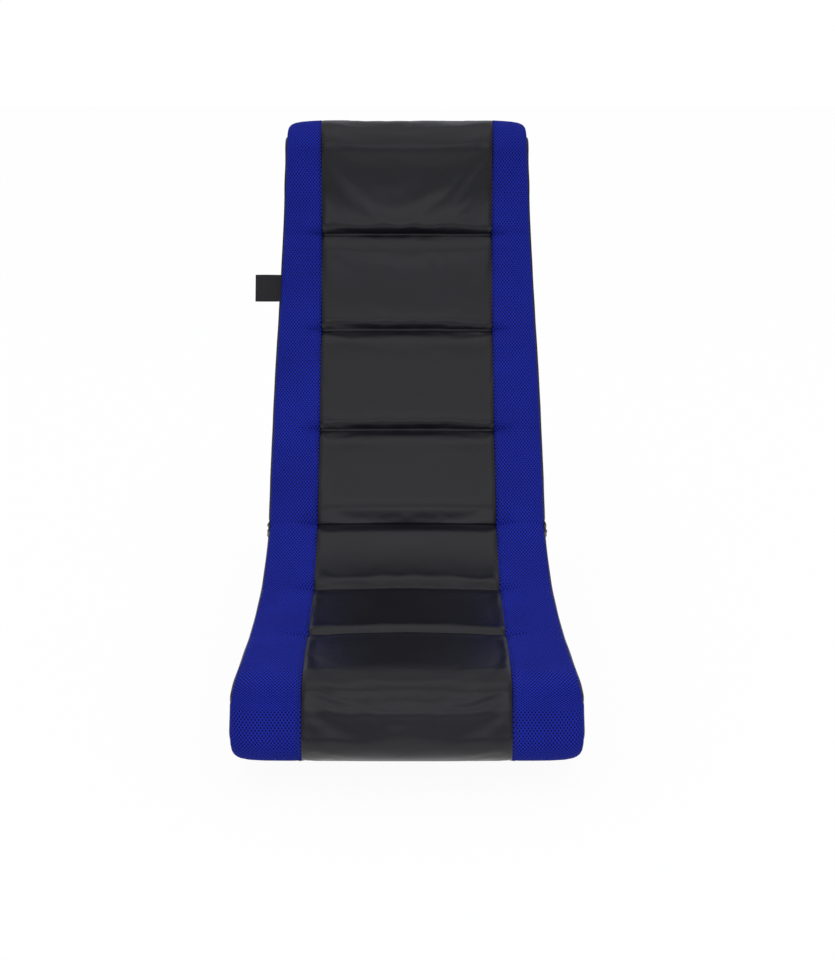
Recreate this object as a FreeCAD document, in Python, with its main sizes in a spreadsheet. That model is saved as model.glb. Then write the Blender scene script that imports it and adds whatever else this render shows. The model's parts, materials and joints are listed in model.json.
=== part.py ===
import FreeCAD, Part
import math
import os
import Sketcher

from FreeCAD import Placement, Rotation, Vector

# Folding floor rocker chair, in millimetres and degrees.
# +X is to the right of someone who looks at the chair from the front, +Y runs from the knees to the
# back, +Z is up, and the origin is the middle of the flat that the chair rests on.
# The side view is one closed walk with the body on its right hand: round the nose, along the seat,
# up the back, over the head, down the rear, round the heel and forward along the rocker.
# "Inset" is a depth below that walk, measured into the body.

SIZES = [
    ("centre_width", 238, "width of the black centre panel"),
    ("nose_width", 390, "width over the side panels at the front of the seat"),
    ("fold_width", 368, "width over the side panels at the fold"),
    ("head_width", 338, "width over the side panels at the top"),
    ("nose_height", 79, "height of the nose's lower arc centre above the floor"),
    ("nose_lower_radius", 50, "lower rounding of the nose"),
    ("nose_face_length", 25, "upright stretch of the nose"),
    ("nose_upper_radius", 37, "upper rounding of the nose"),
    ("nose_wrap_angle", 89, "turn of the upper rounding"),
    ("seat_front_length", 135.6, "front seat channel, up to its seam"),
    ("seat_front_turn", -6, "bend of the front seat channel"),
    ("seat_middle_length", 124, "middle seat channel"),
    ("seat_middle_turn", 14.5, "bend of the middle seat channel"),
    ("seat_rear_length", 108.5, "rear seat channel, up to the fold"),
    ("seat_rear_turn", 32.5, "bend of the rear seat channel"),
    ("lumbar_length", 135.2, "first back channel above the fold"),
    ("lumbar_turn", 8.6, "bend of the first back channel"),
    ("middle_length", 146.2, "second back channel"),
    ("middle_turn", 4.2, "bend of the second back channel"),
    ("shoulder_length", 132.9, "third back channel"),
    ("shoulder_turn", 17.2, "bend of the third back channel"),
    ("head_length", 110.5, "head channel, up to the rounding"),
    ("head_turn", 17.2, "bend of the head channel"),
    ("head_radius", 40, "rounding over the top, half the thickness there"),
    ("head_wrap_angle", 188, "turn of the rounding over the top"),
    ("fold_thickness", 176, "thickness of the body at the fold"),
    ("heel_radius", 50, "rounding of the rocker's heel"),
    ("rest_length", 110, "flat of the rocker that the chair rests on"),
    ("underside_wrap", 26, "how far the front panels run under the nose"),
    ("panel_depth", 22, "inset of the sewn front panels' flat backs"),
    ("seam_sink", 12, "how far a cross seam sinks at the middle of the centre panel"),
    ("seam_sink_edge", 9, "how far a cross seam sinks beside the mesh"),
    ("seam_sink_rim", 3, "how far a cross seam sinks at the side rim"),
    ("crown_drop", 6, "how much lower the centre panel's edges lie than its middle"),
    ("rim_drop", 13, "how much lower the side rim lies than the middle"),
    ("channel_shoulder", 17, "length of the rounding beside a cross seam"),
    ("rim_setback", 4, "how far the mesh rim stands in from the side panel"),
    ("foam_thickness", 24, "foam slab under the front panels"),
    ("foam_setback", 3, "how far the foam slabs stand in from the seat boards' outer faces"),
    ("deck_thickness", 3, "hardboard deck under the foam"),
    ("deck_setback", 0.5, "how far the deck stands in from the boards' outer faces"),
    ("board_thickness", 12, "plywood side boards"),
    ("side_foam_thickness", 7.7, "foam between the hinges and the side panels where the chair is narrowest"),
    ("board_setback", 2, "how far the side boards start behind the nose's rounding"),
    ("head_board_gap", 10, "how far the side boards end below the rounding of the head"),
    ("side_panel_thickness", 8, "padded side panels"),
    ("side_panel_rounding", 5, "rounding of the side panels' outer edges"),
    ("cover_thickness", 3, "rear and underside covers"),
    ("layer_gap", 0.3, "clearance between sewn layers"),
    ("parting_gap", 1, "clearance on each side of the fold"),
    ("end_panel_thickness", 3, "panels that close the two halves at the fold"),
    ("end_roll_width", 7, "padded roll round an end panel, along the body"),
    ("end_roll_wall", 7, "thickness of that roll at the sides"),
    ("end_roll_rear_wall", 1.5, "thickness of that roll inside the rear line"),
    ("end_roll_bulge", 3, "how far that roll stands out of the body"),
    ("end_roll_rounding", 2, "rounding of the roll's outer edges"),
    ("fold_range", 100, "how far the back folds forward"),
    ("pivot_depth", 20, "inset of the fold's pivot"),
    ("plate_thickness", 3, "steel hinge plates"),
    ("plate_gap", 0.3, "clearance between the two plates of a hinge"),
    ("lug_radius", 6, "rounded end of a hinge plate"),
    ("plate_depth", 104, "inset of a hinge plate's lower end"),
    ("plate_foot", 44, "length of a hinge plate's foot along the body"),
    ("plate_arm", 15, "width of a hinge plate's arm"),
    ("plate_corner", 5, "rounded corners of a hinge plate's foot"),
    ("pivot_radius", 2.5, "rivet of the fold"),
    ("pivot_clearance", 0.05, "radial clearance of rivets, screws and dowels"),
    ("rivet_head_radius", 5, "heads of the rivet"),
    ("rivet_head_height", 1.8, "height of a rivet head"),
    ("pocket_clearance", 1.5, "room round a hinge plate in the foam"),
    ("screw_radius", 2.25, "wood screws of the hinge plates"),
    ("screw_length", 10, "length of those screws in the board"),
    ("screw_head_radius", 4, "heads of those screws"),
    ("screw_head_height", 1.8, "height of those heads"),
    ("rail_thickness", 20, "thickness of the cross rails"),
    ("rail_depth", 42, "depth of the cross rails"),
    ("short_rail_depth", 30, "depth of the seat's front rail and the back's middle rail"),
    ("head_rail_depth", 20, "depth of the rail under the head"),
    ("dowel_radius", 4, "dowels between side boards and rails"),
    ("dowel_length", 26, "length of a dowel"),
    ("dowel_edge", 6, "distance of a dowel's middle from the rail's edge"),
    ("label_reach", 34, "how far the side label stands out of the seam"),
    ("label_height", 38, "height of the side label"),
    ("label_thickness", 1.2, "thickness of the folded label"),
    ("label_lift", 0.8, "distance of the flat label from the curved side panel"),
    ("label_share", 0.46, "place of the label along the third back channel"),
]

doc = FreeCAD.newDocument("floor_rocker")
sheet = doc.addObject("Spreadsheet::Sheet", "Sizes")
size = {}
for row, (alias, value, meaning) in enumerate(SIZES, start=1):
    sheet.set(f"A{row}", str(value))
    sheet.setAlias(f"A{row}", alias)
    sheet.set(f"B{row}", meaning)
    size[alias] = float(value)
doc.recompute()

BACK_BOARD_FACE = ("min(Sizes.nose_width; Sizes.fold_width; Sizes.head_width) / 2"
                   " - Sizes.side_panel_thickness - Sizes.side_foam_thickness")
SEAT_BOARD_FACE = BACK_BOARD_FACE + " - Sizes.plate_thickness - Sizes.plate_gap"
BOARD_FACE = {"seat": SEAT_BOARD_FACE, "back": BACK_BOARD_FACE}
SIGN = {"left": -1, "right": 1}
ALONG = {"seat": -1, "back": 1}
ACROSS = Vector(1, 0, 0)


def board_face(part):
    """Outer face of a part's side boards: the back's hinge plates lie outside the seat's."""
    narrowest = min(size["nose_width"], size["fold_width"], size["head_width"]) / 2
    back_face = narrowest - size["side_panel_thickness"] - size["side_foam_thickness"]
    return back_face if part == "back" else back_face - size["plate_thickness"] - size["plate_gap"]


# The side view as a walk


class Step:
    """One straight or round stretch of the walk. A negative turn bends towards the body."""

    def __init__(self, start, heading, length, turn):
        self.start, self.heading, self.length, self.turn = start, heading, length, turn

    def bearing(self, share):
        return math.radians(self.heading + self.turn * share)

    def at(self, share, inset=0.0):
        """The point at a share of the stretch, moved into the body by inset."""
        begin, here = self.bearing(0), self.bearing(share)
        y, z = self.start
        if self.turn == 0:
            y += self.length * share * math.cos(begin)
            z += self.length * share * math.sin(begin)
        else:
            radius = self.length / math.radians(self.turn)
            y += radius * (math.sin(here) - math.sin(begin))
            z += radius * (math.cos(begin) - math.cos(here))
        return Vector(0, y + inset * math.sin(here), z - inset * math.cos(here))

    def stroke(self, inset=0.0, first=0.0, last=1.0):
        """The stretch between two shares: two points of a line or three points of an arc."""
        shares = (first, last) if self.turn == 0 else (first, (first + last) / 2, last)
        return [self.at(share, inset) for share in shares]

    def easing(self, first_inset, last_inset):
        """The stretch as an arc that starts at one inset and ends at another."""
        mean = (first_inset + last_inset) / 2
        return [self.at(0, first_inset), self.at(0.5, mean), self.at(1, last_inset)]

    def share_where(self, measure, value, inset):
        """The share at which a measure, which only grows or only shrinks, has a value."""
        low, high = 0.0, 1.0
        rising = measure(self.at(1, inset)) > measure(self.at(0, inset))
        for _ in range(50):
            middle = (low + high) / 2
            if (measure(self.at(middle, inset)) < value) == rising:
                low = middle
            else:
                high = middle
        return (low + high) / 2

    def share_at_y(self, y, inset):
        return self.share_where(lambda point: point.y, y, inset)

    def end(self):
        point = self.at(1)
        return (point.y, point.z), self.heading + self.turn


def walk(start, heading, stretches):
    """Steps that follow each other without a corner, from (length, turn) pairs."""
    steps = []
    for length, turn in stretches:
        steps.append(Step(start, heading, length, turn))
        start, heading = steps[-1].end()
    return steps


def round_stretch(radius, turn):
    return radius * math.radians(abs(turn)), turn


def meeting_arc(start, heading, finish):
    """Length and turn of the arc that leaves start at heading and meets finish."""
    dy, dz = finish.y - start[0], finish.z - start[1]
    half = (math.degrees(math.atan2(dz, dy)) - heading + 180) % 360 - 180
    radius = math.hypot(dy, dz) / (2 * math.sin(math.radians(abs(half))))
    return round_stretch(radius, 2 * half)


def named_stretches(*names):
    return [(size[name + "_length"], size[name + "_turn"]) for name in names]


def front_steps():
    """Nose, seat and back with the head's rounding, from the nose's lower arc on."""
    nose = walk((0.0, size["nose_height"]), 90, [
        (size["nose_face_length"], 0),
        round_stretch(size["nose_upper_radius"], -size["nose_wrap_angle"]),
    ])
    seat = walk(*nose[-1].end(), named_stretches("seat_front", "seat_middle", "seat_rear"))
    back = walk(*seat[-1].end(), named_stretches("lumbar", "middle", "shoulder", "head"))
    back += walk(*back[-1].end(), [round_stretch(size["head_radius"], -size["head_wrap_angle"])])
    return nose, seat, back


def rocker_steps(fold_rear, heading):
    """Heel, resting flat, rocker and the nose's lower arc, from the rear end of the fold on."""
    slope = math.radians(heading + 180)
    heel_turn = math.degrees(slope)
    tangent = size["heel_radius"] * math.tan(slope / 2)
    rear_line = fold_rear.z / math.sin(slope) - tangent
    heel_floor = fold_rear.y - fold_rear.z / math.tan(slope) - tangent
    rest_front = heel_floor - size["rest_length"]
    radius = size["nose_lower_radius"]
    rise = 2 * math.degrees(math.atan((size["nose_height"] - radius) / (rest_front - radius)))
    rocker_radius = radius + (rest_front - radius) / math.sin(math.radians(rise))
    wrap_turn = math.degrees(size["underside_wrap"] / rocker_radius)
    steps = walk((fold_rear.y, fold_rear.z), heading, [
        (rear_line, 0),
        round_stretch(size["heel_radius"], -heel_turn),
        (size["rest_length"], 0),
        round_stretch(rocker_radius, wrap_turn - rise),
        (size["underside_wrap"], -wrap_turn),
        round_stretch(radius, rise - 90),
    ])
    return steps, (rest_front + heel_floor) / 2


def moved(steps, y):
    return [Step((s.start[0] + y, s.start[1]), s.heading, s.length, s.turn) for s in steps]


def side_view():
    """The walk in five runs: nose, seat, back, rear and underside."""
    nose, seat, back = front_steps()
    fold_rear = seat[-1].at(1, size["fold_thickness"])
    rear_start, rear_heading = back[-1].end()
    rear = walk(rear_start, rear_heading, [meeting_arc(rear_start, rear_heading, fold_rear)])
    lower, middle = rocker_steps(fold_rear, rear[-1].end()[1])
    runs = lower[4:] + nose, seat, back, rear, lower[:4]
    return [moved(run, -middle) for run in runs]


NOSE, SEAT, BACK, REAR, UNDERSIDE = side_view()
BASE_FRONT = NOSE + SEAT
FOLD = SEAT[-1].at(1)
FOLD_ANGLE = SEAT[-1].heading + SEAT[-1].turn

# The covers end just short of the seams with the front panels, under the nose and behind the head.
UNDERSIDE_END = 1 - size["layer_gap"] / UNDERSIDE[-1].length
REAR_START = size["layer_gap"] / REAR[0].length

FOAM_TOP = size["panel_depth"] + size["layer_gap"]
FOAM_FOOT = FOAM_TOP + size["foam_thickness"]
DECK_TOP = FOAM_FOOT + size["layer_gap"]
BOARD_TOP = DECK_TOP + size["deck_thickness"]
BOARD_FOOT = size["cover_thickness"] + size["layer_gap"]
COVER_END = size["parting_gap"] + size["end_roll_width"] + size["layer_gap"]
INNER_END = size["parting_gap"] + size["end_panel_thickness"] + size["layer_gap"]
# The rails beside the fold are flat, so they stand a little off the bent deck.
RAIL_TOP = BOARD_TOP + size["layer_gap"] + 1


def along_fold(point):
    """Distance of a point up the back from the plane that parts the seat and the back."""
    angle = math.radians(FOLD_ANGLE)
    return (point.y - FOLD.y) * math.cos(angle) + (point.z - FOLD.z) * math.sin(angle)


def seat_end(gap, inset):
    """The share of the last seat stretch that ends a gap before the fold."""
    return SEAT[-1].share_where(along_fold, -gap, inset)


def back_start(gap, inset):
    return BACK[0].share_where(along_fold, gap, inset)


def rear_end(gap, inset):
    return REAR[0].share_where(along_fold, gap, inset)


def underside_start(gap, inset):
    return UNDERSIDE[0].share_where(along_fold, -gap, inset)


def fold_point(along, inset, x=0.0):
    """A point by its distance up the back from the fold and its inset."""
    angle = math.radians(FOLD_ANGLE)
    return Vector(x, FOLD.y + along * math.cos(angle) + inset * math.sin(angle),
                  FOLD.z + along * math.sin(angle) - inset * math.cos(angle))


def fold_frame(x=0.0):
    """A frame at the crown of the fold: its Y runs up the back and its Z out of the cushion."""
    return Placement(fold_point(0, 0, x), Rotation(ACROSS, FOLD_ANGLE))


def in_fold_frame(along, inset):
    return Vector(0, along, -inset)


def run(steps, inset, first=0.0, last=1.0):
    """Strokes along the walk. The first share cuts the earliest step, the last share the latest."""
    strokes = []
    for number, step in enumerate(steps):
        low = first if number == 0 else 0.0
        high = last if number == len(steps) - 1 else 1.0
        strokes.append(step.stroke(inset, low, high))
    return strokes


def backwards(strokes):
    return [stroke[::-1] for stroke in reversed(strokes)]


def nose_parts(inset, y):
    """The nose's underside as strokes behind y and strokes in front of y."""
    behind, before = [], []
    for step in NOSE[:2]:
        share = step.share_at_y(y, inset)
        if share > 1e-6:
            behind.append(step.stroke(inset, 0, share))
        if share < 1 - 1e-6:
            before.append(step.stroke(inset, share, 1))
    return behind, before


def closed(strokes):
    """The strokes with straight joins where the end of one lies apart from the next."""
    joined = []
    for stroke, following in zip(strokes, strokes[1:] + strokes[:1]):
        joined.append(stroke)
        if stroke[-1].distanceToPoint(following[0]) > 1e-6:
            joined.append([stroke[-1], following[0]])
    return joined


def curve(points):
    return Part.LineSegment(*points) if len(points) == 2 else Part.Arc(*points)


def closed_wire(strokes):
    return Part.Wire([curve(stroke).toShape() for stroke in closed(strokes)])


def polygon(points):
    """Straight strokes round a list of points."""
    return [[a, b] for a, b in zip(points, points[1:] + points[:1])]


def rounded(points, radii):
    """Strokes round a polygon, with a rounding of its own at each corner."""
    strokes = []
    for number, (corner, radius) in enumerate(zip(points, radii)):
        before, after = points[number - 1], points[(number + 1) % len(points)]
        back, ahead = (before - corner).normalize(), (after - corner).normalize()
        half = back.getAngle(ahead) / 2
        reach = radius / math.tan(half)
        centre = corner + (back + ahead).normalize() * (radius / math.sin(half))
        middle = centre + (corner - centre).normalize() * radius
        strokes.append([corner + back * reach, middle, corner + ahead * reach])
    return strokes


# Sub-parts


PARTS = []


def keep(obj, label):
    """Marks an object of the document as a sub-part."""
    obj.Label = label
    PARTS.append(obj)
    return obj


def feature(label, shape):
    obj = doc.addObject("Part::Feature", label)
    obj.Shape = shape
    return keep(obj, label)


def origin_plane(body, role):
    return next(plane for plane in body.Origin.OriginFeatures if plane.Role == role)


def sketch_on(body, name, role="YZ_Plane"):
    """An empty sketch on one of the body's own origin planes."""
    sketch = body.newObject("Sketcher::SketchObject", name)
    sketch.AttachmentSupport = [(origin_plane(body, role), "")]
    sketch.MapMode = "FlatFace"
    return sketch


def draw_side_view(sketch, strokes):
    """Draws strokes of the side view into a sketch on the YZ plane."""
    for stroke in closed(strokes):
        sketch.addGeometry(curve([Vector(p.y, p.z, 0) for p in stroke]))


def padded(label, strokes, length, offset):
    """A body whose side view is padded along X from an offset, both given as expressions."""
    body = doc.addObject("PartDesign::Body", label)
    sketch = sketch_on(body, label + "_outline")
    draw_side_view(sketch, strokes)
    pad = body.newObject("PartDesign::Pad", label + "_pad")
    pad.Profile = sketch
    pad.setExpression("Length", length)
    body.setExpression("Placement.Base.x", offset)
    return body


def drill(body, name, centres, radius):
    """Round holes right through a body along X, with a radius given as an expression."""
    doc.recompute()
    volume = body.Shape.Volume
    sketch = sketch_on(body, name + "_circles")
    for centre in centres:
        index = sketch.addGeometry(Part.Circle(Vector(centre.y, centre.z, 0), Vector(0, 0, 1), 1))
        constraint = sketch.addConstraint(Sketcher.Constraint("Radius", index, 1))
        sketch.setExpression(f"Constraints[{constraint}]", radius)
    pocket = body.newObject("PartDesign::Pocket", name)
    pocket.Profile = sketch
    pocket.Type = "ThroughAll"
    pocket.Reversed = True
    doc.recompute()
    if body.Shape.Volume >= volume:
        raise RuntimeError(f"{name} cuts nothing")


def mirrored(shape):
    return shape.mirror(Vector(0, 0, 0), ACROSS)


def pair(label, right_shape):
    """The right piece as given, and its mirror image on the left."""
    feature(label + "_right", right_shape)
    feature(label + "_left", mirrored(right_shape))


def prism(strokes, x_low, x_high):
    solid = Part.Face(closed_wire(strokes)).extrude(ACROSS * (x_high - x_low))
    solid.translate(ACROSS * x_low)
    return solid


def one_solid(shape):
    if len(shape.Solids) != 1:
        raise RuntimeError(f"expected one solid, found {len(shape.Solids)}")
    return shape.Solids[0]


# The planes of the sides, which widen from the fold to the nose and narrow from it to the head


HEAD_END = BACK[3].at(1)
BACK_LEAN = math.degrees(math.atan2(HEAD_END.z - FOLD.z, HEAD_END.y - FOLD.y))
TAPER_ANGLE = {"seat": FOLD_ANGLE / 2, "back": (FOLD_ANGLE + BACK_LEAN) / 2}
TAPER_END = {"seat": NOSE[2].at(0.5), "back": HEAD_END}


def taper_direction(part):
    """The direction in the side view along which a part's width changes."""
    angle = math.radians(TAPER_ANGLE[part])
    return Vector(0, math.cos(angle), math.sin(angle))


def taper_reach(part, point):
    """How far a point lies on the way from the fold (0) to the part's far end (1)."""
    direction = taper_direction(part)
    return (point - FOLD).dot(direction) / (TAPER_END[part] - FOLD).dot(direction)


def side_frame(part, at_fold, at_end):
    """Moves a side view from x = 0 to the plane that stands at_fold and at_end from the middle."""
    direction = taper_direction(part)
    span = (TAPER_END[part] - FOLD).dot(direction)
    angle = -math.degrees(math.atan((at_end - at_fold) / span))
    axis = Vector(0, -direction.z, direction.y)
    return Placement(ACROSS * at_fold, Rotation(axis, angle), FOLD)


def half_widths(part, inward=0.0, share=1.0):
    """Half widths at the fold and at the far end, from the centre panel (0) to the side (1)."""
    centre = size["centre_width"] / 2
    end = size["nose_width"] if part == "seat" else size["head_width"]
    return [centre + share * (w / 2 - inward - centre) for w in (size["fold_width"], end)]


def on_side(part, shape, inward=0.0, share=1.0):
    copy = shape.copy()
    copy.Placement = side_frame(part, *half_widths(part, inward, share))
    return copy


def between_sides(part):
    """The block between the side panels' inner faces, to cut what they enclose."""
    reach = 2000.0
    inward = size["side_panel_thickness"] + size["layer_gap"]
    block = Part.makeBox(reach, 2 * reach, 2 * reach, Vector(-reach, -reach, -reach))
    right = on_side(part, block, inward)
    return right.common(mirrored(right))


# Sewn front panels with cross channels


def swell(step, inset, low, high, sink_low, sink_high):
    """The crown of a channel between two shares, a little lower at a sunk end."""
    dip = 0.22
    return [step.at(low, inset + dip * sink_low), step.at((low + high) / 2, inset),
            step.at(high, inset + dip * sink_high)]


def shoulder(step, inset, sink, edge_share, inner_share):
    """The rounding from a sunk seam at one share up to the crown at another."""
    middle = edge_share + 0.4 * (inner_share - edge_share)
    return [step.at(edge_share, inset + sink), step.at(middle, inset + 0.52 * sink),
            step.at(inner_share, inset + 0.22 * sink)]


def channel(step, inset, sink_first, sink_last):
    """Strokes of one channel, from its first seam over its crown to its last seam."""
    share = size["channel_shoulder"] / step.length
    low, high = (share if sink_first else 0.0), (1 - share if sink_last else 1.0)
    strokes = [swell(step, inset, low, high, sink_first, sink_last)]
    if sink_first:
        strokes.insert(0, shoulder(step, inset, sink_first, 0.0, low))
    if sink_last:
        strokes.append(shoulder(step, inset, sink_last, 1.0, high)[::-1])
    return strokes


FOLD_OPENING = math.tan(math.radians(size["fold_range"] / 2 + 1))
FOLD_LIP = 2.0


def fold_slope(inset, part):
    """The slope that leaves room for the fold, from the crown down to the pivot."""
    lip = inset + FOLD_LIP
    reach = size["parting_gap"] + (size["pivot_depth"] - lip) * FOLD_OPENING
    return [fold_point(ALONG[part] * reach, lip),
            fold_point(ALONG[part] * size["parting_gap"], size["pivot_depth"])]


def seat_panel_wire(inset, sink):
    """Side view of the seat's front panels at one place across the width."""
    under, low, face, up = NOSE
    front, middle, rear = SEAT
    slope = fold_slope(inset, "seat")
    outer = [under.stroke(0.0), low.easing(0.0, inset), face.stroke(inset), up.stroke(inset)]
    outer += channel(front, inset, 0, sink)
    outer += channel(middle, inset, sink, sink)
    first = shoulder(rear, inset, sink, 0.0, size["channel_shoulder"] / rear.length)
    outer += [first, [first[-1], rear.at(0.46, inset), slope[0]], slope]
    depth = size["panel_depth"]
    return closed_wire(outer + backwards(run(BASE_FRONT, depth, 0, seat_end(size["parting_gap"], depth))))


def back_panel_wire(inset, sink):
    """Side view of the back's front panels at one place across the width."""
    lumbar, middle, shoulder_step, head, wrap = BACK
    slope = fold_slope(inset, "back")
    last = shoulder(lumbar, inset, sink, 1.0, 1 - size["channel_shoulder"] / lumbar.length)[::-1]
    outer = [slope[::-1], [slope[0], lumbar.at(0.52, inset), last[0]], last]
    outer += channel(middle, inset, sink, sink)
    outer += channel(shoulder_step, inset, sink, sink)
    outer += channel(head, inset, sink, 0)
    outer.append(wrap.easing(inset, 0.0))
    depth = size["panel_depth"]
    return closed_wire(outer + backwards(run(BACK, depth, back_start(size["parting_gap"], depth), 1)))


def centre_panel(wire):
    """A panel crowned across its width, between the two mesh strips."""
    half = ACROSS * (size["centre_width"] / 2)
    edge, middle = wire(size["crown_drop"], size["seam_sink_edge"]), wire(0, size["seam_sink"])
    left, right = edge.copy(), edge.copy()
    left.translate(-half)
    right.translate(half)
    return Part.makeLoft([left, middle, right], True, False)


MESH_STATIONS = [(0.0, 0.0), (0.45, 0.10), (0.75, 0.35), (0.92, 0.65), (1.0, 1.0)]


def mesh_panel(part, wire):
    """The right mesh strip, from the centre panel to the rounded rim."""
    sections = []
    for share, fall in MESH_STATIONS:
        inset = size["crown_drop"] + fall * (size["rim_drop"] - size["crown_drop"])
        sink = size["seam_sink_edge"] + share * (size["seam_sink_rim"] - size["seam_sink_edge"])
        sections.append(on_side(part, wire(inset, sink), size["rim_setback"], share))
    return one_solid(Part.makeLoft(sections, True, False).cut(hinge_pocket()))


def front_panels():
    feature("seat_centre_panel", centre_panel(seat_panel_wire))
    feature("back_centre_panel", centre_panel(back_panel_wire))
    pair("seat_mesh_panel", mesh_panel("seat", seat_panel_wire))
    pair("back_mesh_panel", mesh_panel("back", back_panel_wire))


# Padded side panels, side foam and covers


def base_strokes(front_inset, lower_inset, gap):
    """Side view of the base between two insets, up to a gap before the fold."""
    lower = run(UNDERSIDE, lower_inset, underside_start(gap, lower_inset), UNDERSIDE_END)
    return run(BASE_FRONT, front_inset, 0, seat_end(gap, front_inset)) + lower


def back_strokes(front_inset, rear_inset, gap):
    """Side view of the back between two insets, from a gap behind the fold."""
    rear = run(REAR, rear_inset, REAR_START, rear_end(gap, rear_inset))
    return run(BACK, front_inset, back_start(gap, front_inset), 1) + rear


STROKES = {"seat": base_strokes, "back": back_strokes}


def side_panel(part):
    """Padded vinyl side with a rounded outer edge, on the right."""
    plate = prism(STROKES[part](FOAM_TOP, 0, COVER_END), -size["side_panel_thickness"], 0)
    outer = [edge for edge in plate.Edges if all(abs(v.Point.x) < 1e-6 for v in edge.Vertexes)]
    return one_solid(on_side(part, plate.makeFillet(size["side_panel_rounding"], outer)))


def side_foam(part):
    """Foam between a side board and its side panel."""
    slab = prism(STROKES[part](FOAM_TOP, BOARD_FOOT, INNER_END), board_face(part) + size["layer_gap"],
                 size["nose_width"])
    return one_solid(slab.common(between_sides(part)).cut(hinge_pocket()))


def cover(part, steps, first, last):
    """A thin cover along steps of the walk, between the side panels."""
    outer = run(steps, 0, first, last)
    inner = backwards(run(steps, size["cover_thickness"], first, last))
    sheet_solid = prism(outer + inner, -size["nose_width"], size["nose_width"])
    return one_solid(sheet_solid.common(between_sides(part)))


def sides_and_covers():
    for part in ("seat", "back"):
        pair(f"{part}_side_panel", side_panel(part))
        pair(f"{part}_side_foam", side_foam(part))
    faces = (0, size["cover_thickness"])
    start = max(underside_start(COVER_END, inset) for inset in faces)
    end = min(rear_end(COVER_END, inset) for inset in faces)
    feature("underside_cover", cover("seat", UNDERSIDE, start, UNDERSIDE_END))
    feature("rear_cover", cover("back", REAR, REAR_START, end))


# Padded panels that close the two halves at the fold, with a roll round three edges


def end_panel(part):
    """A sheet with notches for the hinges and a roll round its sides and its rear edge."""
    label = f"{part}_end_panel"
    half = size["fold_width"] / 2
    outer, inner = half + size["end_roll_bulge"], half - size["end_roll_wall"]
    front, rear = -FOAM_TOP, -size["fold_thickness"]
    low, high = rear - size["end_roll_bulge"], rear + size["end_roll_rear_wall"]
    inner_notch = board_face("seat") - size["rivet_head_height"] - 2 * size["plate_gap"]
    outer_notch = hinge_outside() + 2 * size["plate_gap"]
    foot = -size["pivot_depth"] - 3 * size["lug_radius"]
    body = doc.addObject("PartDesign::Body", label)

    def pad(name, points, length):
        sketch = sketch_on(body, name + "_outline", "XZ_Plane")
        for a, b in polygon([Vector(x, z, 0) for x, z in points]):
            sketch.addGeometry(Part.LineSegment(a, b))
        solid = body.newObject("PartDesign::Pad", name)
        solid.Profile = sketch
        solid.Reversed = part == "back"
        solid.setExpression("Length", length)

    right = [(inner_notch, front), (inner_notch, foot), (outer_notch, foot), (outer_notch, front),
             (outer, front), (outer, low)]
    pad(label + "_sheet", right + [(-x, z) for x, z in reversed(right)], "Sizes.end_panel_thickness")
    roll = [(inner, front), (inner, high), (-inner, high), (-inner, front),
            (-outer, front), (-outer, low), (outer, low), (outer, front)]
    pad(label + "_roll", roll, "Sizes.end_roll_width")
    doc.recompute()
    solid = body.Tip
    rims = [f"Edge{n}" for n, edge in enumerate(solid.Shape.Edges, start=1)
            if on_roll_rim(edge, outer, low)]
    rounding = body.newObject("PartDesign::Fillet", label + "_rounding")
    rounding.Base = (solid, rims)
    rounding.setExpression("Radius", "Sizes.end_roll_rounding")
    body.Placement = fold_frame().multiply(
        Placement(Vector(0, ALONG[part] * size["parting_gap"], 0), Rotation()))
    keep(body, label)


def on_roll_rim(edge, outer, low):
    """Whether an edge lies in the roll's outer faces and runs round them."""
    points = [vertex.Point for vertex in edge.Vertexes]
    beside = all(abs(abs(p.x) - outer) < 1e-6 for p in points)
    below = all(abs(p.z - low) < 1e-6 for p in points)
    level = abs(points[0].y - points[-1].y) < 1e-6
    return (beside or below) and level


# The wooden frame


def board_front():
    """The upright front of the seat's side boards and front rail."""
    return SEAT[0].at(0, BOARD_TOP).y + size["board_setback"]


def head_end():
    """The share of the head's stretch at which boards and deck end."""
    return 1 - size["head_board_gap"] / BACK[3].length


def seat_board_strokes():
    """Side of the base, flat in front and rounded along the rocker and the heel."""
    y = board_front()
    top = run(SEAT, BOARD_TOP, SEAT[0].share_at_y(y, BOARD_TOP), seat_end(INNER_END, BOARD_TOP))
    lower = run(UNDERSIDE, BOARD_FOOT, underside_start(INNER_END, BOARD_FOOT), UNDERSIDE_END)
    behind, _ = nose_parts(FOAM_TOP, y)
    return top + lower + behind


def back_board_strokes():
    """Side of the back, deep at the fold and slim under the head."""
    front = run(BACK[:4], BOARD_TOP, back_start(INNER_END, BOARD_TOP), head_end())
    top = REAR[0].share_where(lambda point: point.z, front[-1][-1].z, BOARD_FOOT)
    return front + run(REAR, BOARD_FOOT, top, rear_end(INNER_END, BOARD_FOOT))


BOARD_STROKES = {"seat": seat_board_strokes, "back": back_board_strokes}


class Rail:
    """A cross rail: its middle line in the side view, its angle and its depth."""

    def __init__(self, label, part, depth, front_top, angle):
        self.label, self.part, self.depth = label, part, depth
        self.front_top, self.angle = front_top, math.radians(angle)

    def point(self, along, down):
        """A point by its distances from the front upper corner."""
        return self.front_top + Vector(0, along * math.cos(self.angle) + down * math.sin(self.angle),
                                       along * math.sin(self.angle) - down * math.cos(self.angle))

    def dowel_points(self):
        middle = size["rail_thickness"] / 2
        edge = size["dowel_edge"]
        return [self.point(middle, down) for down in (edge, size[self.depth] - edge)]


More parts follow.
